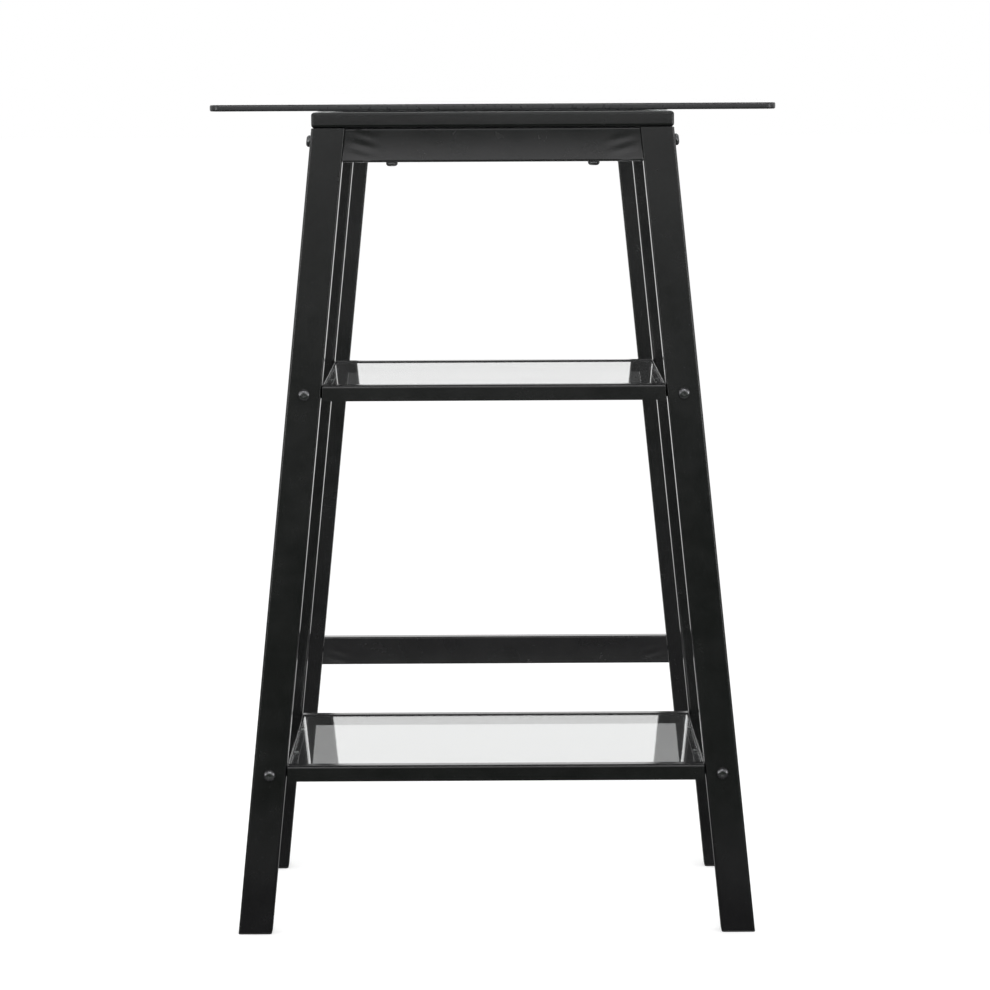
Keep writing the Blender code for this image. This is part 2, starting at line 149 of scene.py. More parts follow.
class Bench:
    """Blender's modelling operators, as a few steps that each piece is made with."""

    @staticmethod
    def clear_selection() -> None:
        """Leaves edit mode and deselects everything."""
        if bpy.context.mode != "OBJECT":
            bpy.ops.object.mode_set(mode="OBJECT")
        bpy.ops.object.select_all(action="DESELECT")

    @staticmethod
    def focus(piece: Piece) -> None:
        """Makes a piece the only selected object and the active one.

        Args:
            piece: The object.
        """
        Bench.clear_selection()
        piece.select_set(True)
        bpy.context.view_layer.objects.active = piece

    @staticmethod
    def named(name: str) -> Piece:
        """Names the object that an operator has just added, and its mesh.

        Args:
            name: The name of both.

        Returns:
            The object.
        """
        piece = bpy.context.object
        piece.name = name
        piece.data.name = name
        return piece

    @staticmethod
    def box(name: str, low: Point, high: Point) -> Piece:
        """Adds a box.

        Args:
            name: The object's name.
            low: Its lowest corner.
            high: Its highest corner.

        Returns:
            The box, with its place in its mesh.
        """
        Bench.clear_selection()
        low, high = Vector(low), Vector(high)
        bpy.ops.mesh.primitive_cube_add(size=1.0, location=(low + high) / 2, scale=high - low)
        piece = Bench.named(name)
        bpy.ops.object.transform_apply(location=True, rotation=True, scale=True)
        return piece

    @staticmethod
    def rod(name: str, radius: float, start: Point, end: Point, sides: int) -> Piece:
        """Adds a cylinder between two points.

        Args:
            name: The object's name.
            radius: Its radius.
            start: The middle of one end.
            end: The middle of the other end.
            sides: How many sides it has.

        Returns:
            The cylinder, with its place in its mesh.
        """
        Bench.clear_selection()
        along = Vector(end) - Vector(start)
        bpy.ops.mesh.primitive_cylinder_add(vertices=sides, radius=radius, depth=along.length)
        piece = Bench.named(name)
        middle = (Vector(start) + Vector(end)) / 2
        piece.data.transform(Matrix.Translation(middle) @ turned_to(along))
        return piece

    @staticmethod
    def pick(piece: Piece, element: Element, test: Callable[[Pickable], bool]) -> int:
        """Selects what passes a test, in edit mode.

        Args:
            piece: The mesh object.
            element: Whether vertices, edges or faces are picked.
            test: Says whether one of them is picked.

        Returns:
            How many were picked.
        """
        Bench.focus(piece)
        bpy.ops.object.mode_set(mode="EDIT")
        bpy.ops.mesh.select_mode(type=element.value)
        bpy.ops.mesh.select_all(action="DESELECT")
        form = bmesh.from_edit_mesh(piece.data)
        groups = {Element.VERTEX: form.verts, Element.EDGE: form.edges, Element.FACE: form.faces}
        picked = [item for item in groups[element] if test(item)]
        for item in picked:
            item.select_set(True)
        form.select_flush_mode()
        bmesh.update_edit_mesh(piece.data)
        return len(picked)

    @staticmethod
    def round_edges(
        piece: Piece,
        radius: float,
        segments: int,
        test: Callable[[bmesh.types.BMEdge], bool],
    ) -> None:
        """Rounds the edges that pass a test.

        Args:
            piece: The mesh object.
            radius: The rounding's radius.
            segments: How many facets the rounding has.
            test: Says whether an edge is rounded.
        """
        Bench.pick(piece, Element.EDGE, test)
        bpy.ops.mesh.bevel(offset=radius, segments=segments, profile=0.5, affect="EDGES")
        bpy.ops.object.mode_set(mode="OBJECT")

    @staticmethod
    def soften(piece: Piece, width: float, segments: int = 2) -> None:
        """Rounds every sharp edge of a piece with a Bevel modifier, and applies it.

        Args:
            piece: The mesh object.
            width: How far the rounding reaches from an edge.
            segments: How many facets the rounding has.
        """
        bevel = piece.modifiers.new("softened edges", "BEVEL")
        bevel.width = width
        bevel.segments = segments
        bevel.limit_method = "ANGLE"
        bevel.angle_limit = SOFTENED_CREASE
        Bench.apply(piece)

    @staticmethod
    def thicken(piece: Piece, wall: float) -> None:
        """Gives an open shell a wall on its inner side.

        Args:
            piece: The open shell.
            wall: The wall's thickness.
        """
        solid = piece.modifiers.new("wall", "SOLIDIFY")
        solid.thickness = wall
        solid.offset = -1.0
        solid.use_even_offset = True
        Bench.apply(piece)

    @staticmethod
    def apply(piece: Piece) -> None:
        """Applies a piece's modifiers in order.

        Args:
            piece: The mesh object.
        """
        Bench.focus(piece)
        for modifier in list(piece.modifiers):
            bpy.ops.object.modifier_apply(modifier=modifier.name)

    @staticmethod
    def combine(piece: Piece, other: Piece, joining: Joining) -> None:
        """Applies an exact Boolean of another object to a piece, and removes the other object.

        Args:
            piece: The mesh object that stays.
            other: The object that is cut away or added.
            joining: Which of the two is done.
        """
        boolean = piece.modifiers.new(joining.name.lower(), "BOOLEAN")
        boolean.operation = joining.value
        boolean.solver = "EXACT"
        boolean.object = other
        Bench.apply(piece)
        bpy.data.objects.remove(other)

    @staticmethod
    def carve(piece: Piece, low: Point, high: Point) -> None:
        """Cuts a box out of a piece."""
        Bench.combine(piece, Bench.box("carver", low, high), Joining.CUT)

    @staticmethod
    def bore(piece: Piece, radius: float, start: Point, end: Point, sides: int) -> None:
        """Cuts a hole through a piece, or into it."""
        Bench.combine(piece, Bench.rod("borer", radius, start, end, sides), Joining.CUT)

    @staticmethod
    def lathe(name: str, outline: list[tuple[float, float]], steps: int) -> Piece:
        """Turns an outline round the Z axis.

        Args:
            name: The object's name.
            outline: The points of the outline, each a radius and a height.
            steps: How many facets there are round the axis.

        Returns:
            The turned solid.
        """
        Bench.clear_selection()
        bpy.ops.mesh.primitive_plane_add(size=1.0)
        piece = Bench.named(name)
        bpy.ops.object.mode_set(mode="EDIT")
        bpy.ops.mesh.select_mode(type="VERT")
        bpy.ops.mesh.select_all(action="SELECT")
        bpy.ops.mesh.merge(type="CENTER")
        bpy.ops.transform.translate(value=(outline[0][0], 0.0, outline[0][1]))
        for (radius, height), (last_radius, last_height) in zip(outline[1:], outline):
            step = (radius - last_radius, 0.0, height - last_height)
            bpy.ops.mesh.extrude_vertices_move(TRANSFORM_OT_translate={"value": step})
        bpy.ops.mesh.select_all(action="SELECT")
        bpy.ops.mesh.spin(steps=steps, angle=math.tau, center=(0, 0, 0), axis=(0, 0, 1))
        bpy.ops.mesh.select_all(action="SELECT")
        bpy.ops.mesh.remove_doubles(threshold=1e-6)
        bpy.ops.mesh.select_all(action="SELECT")
        bpy.ops.mesh.normals_make_consistent(inside=False)
        bpy.ops.object.mode_set(mode="OBJECT")
        return piece

    @staticmethod
    def copy(piece: Piece, name: str, place: Matrix) -> Piece:
        """Copies a piece, with its own mesh moved to a place.

        Args:
            piece: The piece.
            name: The copy's name.
            place: The matrix that moves the copy's mesh.

        Returns:
            The copy.
        """
        double = piece.copy()
        double.data = piece.data.copy()
        double.name = name
        double.data.name = name
        double.data.transform(place)
        bpy.context.scene.collection.objects.link(double)
        return double

    @staticmethod
    def shade(piece: Piece) -> None:
        """Shades the round parts smooth and keeps the flat faces flat.

        Args:
            piece: The finished mesh object.
        """
        Bench.focus(piece)
        bpy.ops.object.shade_smooth_by_angle(angle=SHOWN_CREASE)
        weighted = piece.modifiers.new("flat faces stay flat", "WEIGHTED_NORMAL")
        weighted.keep_sharp = True
        Bench.apply(piece)


def turned_to(direction: Vector) -> Matrix:
    """Makes the turn that brings the Z axis to a direction."""
    return Vector(direction).to_track_quat("Z", "Y").to_matrix().to_4x4()


def placed_at(point: Vector, direction: Vector) -> Matrix:
    """Makes the matrix that puts the origin at a point and the Z axis along a direction."""
    return Matrix.Translation(point) @ turned_to(direction)


def hexagon_radius(across: float) -> float:
    """Gives the radius to a hexagon's corners from its width across flats."""
    return across / 2 / math.cos(math.radians(30))


def runs_along(edge: bmesh.types.BMEdge, axis: int) -> bool:
    """Says whether an edge runs along one axis."""
    span = edge.verts[1].co - edge.verts[0].co
    return abs(span[axis]) > MOSTLY * span.length


def lies_under(edge: bmesh.types.BMEdge, height: float) -> bool:
    """Says whether an edge lies at a height or under it."""
    return all(vertex.co.z < height + TOUCH for vertex in edge.verts)


def is_level(edge: bmesh.types.BMEdge) -> bool:
    """Says whether an edge is level."""
    return abs(edge.verts[0].co.z - edge.verts[1].co.z) < LEVEL


def faces_along(face: bmesh.types.BMFace, direction: Vector) -> bool:
    """Says whether a face looks in a direction."""
    return face.normal.dot(direction) > MOSTLY


# Finishes

# The range that most of a noise's values lie in.
MIDDLE_OF_NOISE = (0.3, 0.7)
WHOLE_SHARE = (0.0, 1.0)
WHITE = (1.0, 1.0, 1.0)
GLASS_IOR = 1.52


class Nodes:
    """Adds shader nodes to a material or a world, and links them."""

    def __init__(self, tree: bpy.types.NodeTree) -> None:
        """Starts on a node tree."""
        self.tree = tree

    def add(self, kind: str, **settings: object) -> Node:
        """Adds a node and sets its properties.

        Args:
            kind: The node's type.
            **settings: Its properties, by name.

        Returns:
            The node.
        """
        node = self.tree.nodes.new(kind)
        for name, value in settings.items():
            setattr(node, name, value)
        return node

    def link(self, source: Socket, target: Socket) -> None:
        """Links one socket to another."""
        self.tree.links.new(source, target)

    def noise(self, scale: float, detail: float, roughness: float = 0.5) -> Node:
        """Adds a noise over the piece's Object coordinates.

        Args:
            scale: How many times it repeats in a metre.
            detail: How many finer layers it has.
            roughness: How strong the finer layers are.

        Returns:
            The noise node.
        """
        place = self.add("ShaderNodeTexCoord")
        noise = self.add("ShaderNodeTexNoise")
        noise.inputs["Scale"].default_value = scale
        noise.inputs["Detail"].default_value = detail
        noise.inputs["Roughness"].default_value = roughness
        self.link(place.outputs["Object"], noise.inputs["Vector"])
        return noise

    def spread(self, source: Socket, old: Span, new: Span) -> Socket:
        """Maps one range of a value to another range, and clamps it.

        Args:
            source: The value.
            old: The range that it is read over.
            new: The range that it is given.

        Returns:
            The mapped value.
        """
        ranged = self.add("ShaderNodeMapRange")
        ranged.inputs["From Min"].default_value = old[0]
        ranged.inputs["From Max"].default_value = old[1]
        ranged.inputs["To Min"].default_value = new[0]
        ranged.inputs["To Max"].default_value = new[1]
        self.link(source, ranged.inputs["Value"])
        return ranged.outputs["Result"]

    def blend(self, share: Socket, first: Colour, second: Colour) -> Socket:
        """Blends two colours by a share.

        Args:
            share: How much of the second colour shows.
            first: The colour at a share of 0.
            second: The colour at a share of 1.

        Returns:
            The blended colour.
        """
        mix = self.add("ShaderNodeMix", data_type="RGBA")
        mix.inputs["A"].default_value = (*first, 1.0)
        mix.inputs["B"].default_value = (*second, 1.0)
        self.link(share, mix.inputs["Factor"])
        return mix.outputs["Result"]

    def maths(self, operation: str, first: Socket | float, second: Socket | float) -> Socket:
        """Combines two values, each a socket or a number.

        Args:
            operation: What is done to them.
            first: The first value.
            second: The second value.

        Returns:
            The outcome.
        """
        node = self.add("ShaderNodeMath", operation=operation)
        for socket, value in zip(node.inputs, (first, second)):
            if isinstance(value, (int, float)):
                socket.default_value = value
            else:
                self.link(value, socket)
        return node.outputs["Value"]

    def vary(self, noise: Node, shader: Node, colours: tuple[Colour, Colour], gloss: Span) -> None:
        """Varies a shader's colour and its roughness by one noise.

        Args:
            noise: The noise node.
            shader: The Principled shader.
            colours: The colours at the noise's lowest and highest.
            gloss: The roughness over the middle of the noise.
        """
        share = noise.outputs["Fac"]
        self.link(self.blend(share, *colours), shader.inputs["Base Color"])
        self.link(self.spread(share, MIDDLE_OF_NOISE, gloss), shader.inputs["Roughness"])

    def either(self, flag: Socket, without: Socket | float, with_it: Socket | float) -> Socket:
        """Gives one value where a flag is 0, and another where it is 1.

        Args:
            flag: A value of 0 or 1.
            without: The value where it is 0.
            with_it: The value where it is 1.

        Returns:
            The chosen value.
        """
        unflagged = self.maths("SUBTRACT", 1.0, flag)
        return self.maths(
            "ADD",
            self.maths("MULTIPLY", flag, with_it),
            self.maths("MULTIPLY", unflagged, without),
        )

    def parts(self, place: Socket) -> Node:
        """Splits a place into its X, Y and Z.

        Args:
            place: The place.

        Returns:
            A node with an output for each.
        """
        split = self.add("ShaderNodeSeparateXYZ")
        self.link(place, split.inputs["Vector"])
        return split

    def bump(self, shader: Node, height: Socket, strength: float, distance: float) -> None:
        """Bumps a shader's surface by a height.

        Args:
            shader: The Principled shader.
            height: The height.
            strength: How much of the bump shows.
            distance: How high the bump stands.
        """
        bump = self.add("ShaderNodeBump")
        bump.inputs["Strength"].default_value = strength
        bump.inputs["Distance"].default_value = distance
        self.link(height, bump.inputs["Height"])
        self.link(bump.outputs["Normal"], shader.inputs["Normal"])


@dataclass(frozen=True)
class Finish:
    """A surface finish, made into a material once and shared by its pieces."""

    title: str = "finish"

    def material(self) -> bpy.types.Material:
        """Gives the finish's material, and makes it the first time.

        Returns:
            The material.
        """
        made = bpy.data.materials.get(self.title)
        if made is None:
            made = bpy.data.materials.new(self.title)
            made.use_nodes = True
            nodes = Nodes(made.node_tree)
            self.dress(nodes, made.node_tree.nodes["Principled BSDF"])
        return made

    def dress(self, nodes: Nodes, shader: Node) -> None:
        """Builds the finish's nodes on a Principled shader."""
        raise NotImplementedError


@dataclass(frozen=True)
class PowderCoat(Finish):
    """Satin black powder coat: near-black, with a faint orange peel and uneven gloss."""

    title: str = "satin_black_powder_coat"
    deep: Colour = (0.0040, 0.0040, 0.0045)
    pale: Colour = (0.0068, 0.0068, 0.0073)
    speck: Colour = (0.035, 0.035, 0.037)
    gloss: Span = (0.21, 0.28)
    grazing_gloss: float = 0.10
    clouded: Span = (0.35, 0.65)
    specked: Span = (0.72, 0.80)

    def dress(self, nodes: Nodes, shader: Node) -> None:
        """Builds cloudy colour, sparse pale specks, cloudy gloss and two sizes of orange peel.

        Args:
            nodes: The material's nodes.
            shader: Its Principled shader.
        """
        clouds = nodes.noise(scale=14.0, detail=4.0)
        colour = nodes.blend(
            nodes.spread(clouds.outputs["Fac"], self.clouded, WHOLE_SHARE), self.deep, self.pale
        )
        dust = nodes.noise(scale=620.0, detail=1.0)
        specks = nodes.spread(dust.outputs["Fac"], self.specked, WHOLE_SHARE)
        dusted = nodes.add("ShaderNodeMix", data_type="RGBA")
        nodes.link(specks, dusted.inputs["Factor"])
        nodes.link(colour, dusted.inputs["A"])
        dusted.inputs["B"].default_value = (*self.speck, 1.0)
        nodes.link(dusted.outputs["Result"], shader.inputs["Base Color"])
        wipes = nodes.noise(scale=38.0, detail=5.0, roughness=0.6)
        rough = nodes.spread(wipes.outputs["Fac"], MIDDLE_OF_NOISE, self.gloss)
        slant = nodes.add("ShaderNodeLayerWeight")
        grazing = nodes.maths("POWER", slant.outputs["Facing"], 2.0)
        excess = nodes.maths("SUBTRACT", rough, self.grazing_gloss)
        smoother = nodes.maths("MULTIPLY", grazing, excess)
        nodes.link(nodes.maths("SUBTRACT", rough, smoother), shader.inputs["Roughness"])
        peel = nodes.noise(scale=420.0, detail=2.0)
        waves = nodes.noise(scale=90.0, detail=1.0)
        rolling = nodes.maths("MULTIPLY", waves.outputs["Fac"], 0.5)
        height = nodes.maths("ADD", peel.outputs["Fac"], rolling)
        nodes.bump(shader, height, strength=0.30, distance=0.00010)


@dataclass(frozen=True)
class BlackOxide(Finish):
    """Black oxide steel of the bolts and nuts: dark, metallic and slightly glossy."""

    title: str = "black_oxide_steel"
    dark: Colour = (0.10, 0.10, 0.105)
    light: Colour = (0.19, 0.19, 0.195)
    gloss: Span = (0.16, 0.26)
    patchy: Span = (0.4, 0.7)
    metallic: float = 0.85

    def dress(self, nodes: Nodes, shader: Node) -> None:
        """Builds a patchy dark metal with fine turning marks.

        Args:
            nodes: The material's nodes.
            shader: Its Principled shader.
        """
        patches = nodes.noise(scale=260.0, detail=4.0)
        colour = nodes.blend(
            nodes.spread(patches.outputs["Fac"], self.patchy, WHOLE_SHARE), self.dark, self.light
        )
        nodes.link(colour, shader.inputs["Base Color"])
        shader.inputs["Metallic"].default_value = self.metallic
        wear = nodes.noise(scale=700.0, detail=3.0)
        rough = nodes.spread(wear.outputs["Fac"], MIDDLE_OF_NOISE, self.gloss)
        nodes.link(rough, shader.inputs["Roughness"])
        nodes.bump(shader, wear.outputs["Fac"], strength=0.2, distance=0.00004)


@dataclass(frozen=True)
class ClearGlass(Finish):
    """Clear tempered glass, which is dark along its length and clear through its thickness."""

    title: str = "clear_tempered_glass"
    tint: Colour = (0.58, 0.74, 0.67)
    darkening: float = 15.0

    def dress(self, nodes: Nodes, shader: Node) -> None:
        """Builds smooth glass with a faintly green absorption and a trace of roller wave.

        Args:
            nodes: The material's nodes.
            shader: Its Principled shader.
        """
        shader.inputs["Base Color"].default_value = (*WHITE, 1.0)
        shader.inputs["Transmission Weight"].default_value = 1.0
        shader.inputs["IOR"].default_value = GLASS_IOR
        shader.inputs["Roughness"].default_value = 0.0
        wave = nodes.noise(scale=9.0, detail=1.0)
        nodes.bump(shader, wave.outputs["Fac"], strength=0.06, distance=0.0004)
        absorption = nodes.add("ShaderNodeVolumeAbsorption")
        absorption.inputs["Color"].default_value = (*self.tint, 1.0)
        absorption.inputs["Density"].default_value = self.darkening
        output = nodes.tree.nodes["Material Output"]
        nodes.link(absorption.outputs["Volume"], output.inputs["Volume"])


@dataclass(frozen=True)
class GroundEdgePaintedShade(Finish):
    """Ground edge of the tempered glass: smooth to the touch and even, painted dark grey as shade
    for the darkness that light takes on along the glass.
    """

    title: str = "ground_glass_edge_painted_shade"
    # The edge's dark grey is painted shade, standing in for the darkness of light passing along the
    # glass.
    deep: Colour = (0.0180, 0.0183, 0.0203)
    pale: Colour = (0.0235, 0.0238, 0.0260)
    gloss: Span = (0.24, 0.36)

    def dress(self, nodes: Nodes, shader: Node) -> None:
        """Builds a dark grey edge, painted shade, with fine grinding marks along it.

        Args:
            nodes: The material's nodes.
            shader: Its Principled shader.
        """
        marks = nodes.noise(scale=180.0, detail=4.0)
        nodes.vary(marks, shader, (self.deep, self.pale), self.gloss)
        shader.inputs["IOR"].default_value = GLASS_IOR
        fine = nodes.noise(scale=900.0, detail=2.0)
        nodes.bump(shader, fine.outputs["Fac"], strength=0.06, distance=0.00003)


@dataclass(frozen=True)
class MouldedPlastic(Finish):
    """Matte black moulded plastic of the foot plugs."""

    title: str = "matte_black_plastic"
    deep: Colour = (0.010, 0.010, 0.010)
    pale: Colour = (0.020, 0.020, 0.020)
    gloss: Span = (0.45, 0.62)

    def dress(self, nodes: Nodes, shader: Node) -> None:
        """Builds a spark-eroded grain with scuffed gloss.

        Args:
            nodes: The material's nodes.
            shader: Its Principled shader.
        """
        scuffs = nodes.noise(scale=75.0, detail=5.0)
        nodes.vary(scuffs, shader, (self.deep, self.pale), self.gloss)
        grain = nodes.noise(scale=2400.0, detail=1.0)
        nodes.bump(shader, grain.outputs["Fac"], strength=0.3, distance=0.00008)


@dataclass(frozen=True)
class ClearRubber(Finish):
    """Clear soft rubber of the pads under the glass."""

    title: str = "clear_soft_rubber"
    cloudy: Colour = (0.66, 0.69, 0.69)
    milky: Colour = (0.80, 0.82, 0.81)
    gloss: Span = (0.28, 0.42)
    clearness: float = 0.55
    ior: float = 1.43

    def dress(self, nodes: Nodes, shader: Node) -> None:
        """Builds a milky, slightly cloudy rubber.

        Args:
            nodes: The material's nodes.
            shader: Its Principled shader.
        """
        milk = nodes.noise(scale=320.0, detail=3.0)
        nodes.vary(milk, shader, (self.cloudy, self.milky), self.gloss)
        shader.inputs["Transmission Weight"].default_value = self.clearness
        shader.inputs["IOR"].default_value = self.ior


FINISHES: dict[Slot, Finish] = {
    Slot.STEEL: PowderCoat(),
    Slot.BOLT: BlackOxide(),
    Slot.GLASS: ClearGlass(),
    Slot.PLASTIC: MouldedPlastic(),
    Slot.RUBBER: ClearRubber(),
}


def hand_over(piece: Piece, slot: Slot, *nodes: str) -> Piece:
    """Dresses a finished piece and gives it its place in the table.

    Args:
        piece: The finished piece, with its place in its mesh.
        slot: The material slot that it takes its finish from.
        nodes: The CAD nodes that it stands for, if any.

    Returns:
        The piece.
    """
    piece.data.materials.clear()
    piece.data.materials.append(FINISHES[slot].material())
    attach(piece, BODY)
    if nodes:
        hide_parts(*nodes)
    LOG.info("%s: %d faces, %s", piece.name, len(piece.data.polygons), slot.value)
    return piece


# Sub-assemblies


# How finely a glass plate's corners and edges are rounded, and how level its clear faces are.
CORNER_STEPS = 10
EDGE_STEPS = 4
CLEAR_FACE = 0.97


class Pattern:
    """Parts that repeat, modelled once for each size and kept out of the scene to be copied."""

    def __init__(self, make: Callable[..., Piece]) -> None:
        """Starts with the method that models a part from its sizes."""
        self.make = make
        self.models: dict[tuple[int, ...], Piece] = {}

    def copy(self, name: str, place: Matrix, *sizes: float) -> Piece:
        """Copies the part of a size, and models it the first time.

        Args:
            name: The copy's name.
            place: The matrix that moves the copy's mesh.
            *sizes: The part's sizes.

        Returns:
            The copy.
        """
        key = tuple(round(size * TENTHS_OF_MM) for size in sizes)
        if key not in self.models:
            part = self.make(*sizes)
            for home in list(part.users_collection):
                home.objects.unlink(part)
            self.models[key] = part
        return Bench.copy(self.models[key], name, place)


@dataclass
class BoltSpot:
    """Where a bolt sits: its seat, the way its head looks, and how long its shank is."""

    seat: Vector
    outward: Vector
    length: float

    @classmethod
    def of_node(cls, node: str, outward: Vector, head_height: float) -> "BoltSpot":
        """Reads a bolt's place from its CAD node.

        Args:
            node: The bolt's node, whose tip lies on its axis.
            outward: The way its head looks.
            head_height: The height of its head.

        Returns:
            The bolt's place.
        """
        points = [vertex.co.copy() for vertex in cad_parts[node].data.vertices]
        tip = min(points, key=lambda point: point.dot(outward))
        head_top = max(point.dot(outward) for point in points)
        length = head_top - head_height - tip.dot(outward)
        return cls(tip + outward * length, outward, length)


@dataclass
class Bolts:
    """The button-head bolts, modelled once for each length and copied to each place."""

    head_radius: float = 0.0065
    head_height: float = 0.0044
    rim_height: float = 0.0011
    shank_radius: float = 0.0032
    thread_depth: float = 0.0005
    thread_pitch: float = 0.0010
    thread_length: float = 0.014
    socket_across: float = 0.0040
    socket_depth: float = 0.0025
    flat_share: float = 0.42
    under_head: float = 0.0003
    tip_chamfer: float = 0.0012
    dome_steps: int = 9
    steps: int = 48
    hole_clearance: float = 0.0003

    def __post_init__(self) -> None:
        """Starts the pattern of the bolts."""
        self.pattern = Pattern(self.model)

    def outline(self, length: float) -> list[tuple[float, float]]:
        """Draws a bolt's outline from the top of its head to its tip.

        Args:
            length: The shank's length.

        Returns:
            The outline's points, each a radius and a height over the seat.
        """
        points = [(0.0, self.head_height)]
        flat = self.head_radius * self.flat_share
        dome = self.head_height - self.rim_height
        for step in range(self.dome_steps + 1):
            angle = math.radians(90) * step / self.dome_steps
            radius = flat + (self.head_radius - flat) * math.sin(angle)
            points.append((radius, self.rim_height + dome * math.cos(angle)))
        points.append((self.head_radius - self.under_head, 0.0))
        points.append((self.shank_radius, 0.0))
        turns = int(self.thread_length / self.thread_pitch)
        start = length - turns * self.thread_pitch - self.thread_pitch / 2
        points.append((self.shank_radius, -start))
        for turn in range(turns):
            crest = start + (turn + 0.5) * self.thread_pitch
            points.append((self.shank_radius - self.thread_depth, -crest))
            points.append((self.shank_radius, -crest - self.thread_pitch / 2))
        points.append((self.shank_radius - self.tip_chamfer, -length))
        points.append((0.0, -length))
        return points

    def model(self, length: float) -> Piece:
        """Models a bolt with its seat at the origin.

        Args:
            length: The shank's length.

        Returns:
            The model.
        """
        bolt = Bench.lathe("bolt_model", self.outline(length), self.steps)
        floor = Z_AXIS * (self.head_height - self.socket_depth)
        over = floor + Z_AXIS * self.head_height
        Bench.bore(bolt, hexagon_radius(self.socket_across), floor, over, HEXAGON_SIDES)
        Bench.shade(bolt)
        return bolt

    def place(self, node: str, outward: Vector) -> BoltSpot:
        """Puts a bolt where its CAD node is.

        Args:
            node: The bolt's CAD node.
            outward: The way its head looks.

        Returns:
            Where it sits.
        """
        spot = BoltSpot.of_node(node, outward, self.head_height)
        matrix = placed_at(spot.seat, outward)
        bolt = self.pattern.copy(f"{node}_turned", matrix, spot.length)
        hand_over(bolt, Slot.BOLT, node)
        return spot

    def drill(self, piece: Piece, spot: BoltSpot) -> None:
        """Cuts a bolt's clearance hole through a piece.

        Args:
            piece: The drilled piece.
            spot: Where the bolt sits.
        """
        radius = self.shank_radius + self.hole_clearance
        start = spot.seat + spot.outward * DRILL_PAST
        end = spot.seat - spot.outward * (spot.length + DRILL_PAST)
        Bench.bore(piece, radius, start, end, ROUND_SIDES)


@dataclass
class Welds:
    """Rippled weld beads, modelled once for each length and copied to each joint."""

    radius: float = 0.0013
    ripple: float = 0.0002
    pitch: float = 0.0011
    fewest_ripples: int = 3
    steps: int = 10

    def __post_init__(self) -> None:
        """Starts the pattern of the beads."""
        self.pattern = Pattern(self.model)

    def model(self, length: float) -> Piece:
        """Models a bead that stands on the origin.

        Args:
            length: The bead's length.

        Returns:
            The model.
        """
        ripples = max(self.fewest_ripples, round(length / self.pitch))
        outline = [(0.0, 0.0)]
        for step in range(ripples * 2 + 1):
            along = length * (step + 0.5) / (ripples * 2 + 2)
            swell = self.ripple if step % 2 else -self.ripple
            outline.append((self.radius + swell, along))
        outline.append((0.0, length))
        bead = Bench.lathe("bead_model", outline, self.steps)
        Bench.shade(bead)
        return bead

    def bead(self, name: str, start: Vector, end: Vector) -> None:
        """Runs a bead between two points.

        Args:
            name: The bead's name.
            start: Where it starts.
            end: Where it ends.
        """
        span = end - start
        bead = self.pattern.copy(name, placed_at(start, span), span.length)
        hand_over(bead, Slot.STEEL)


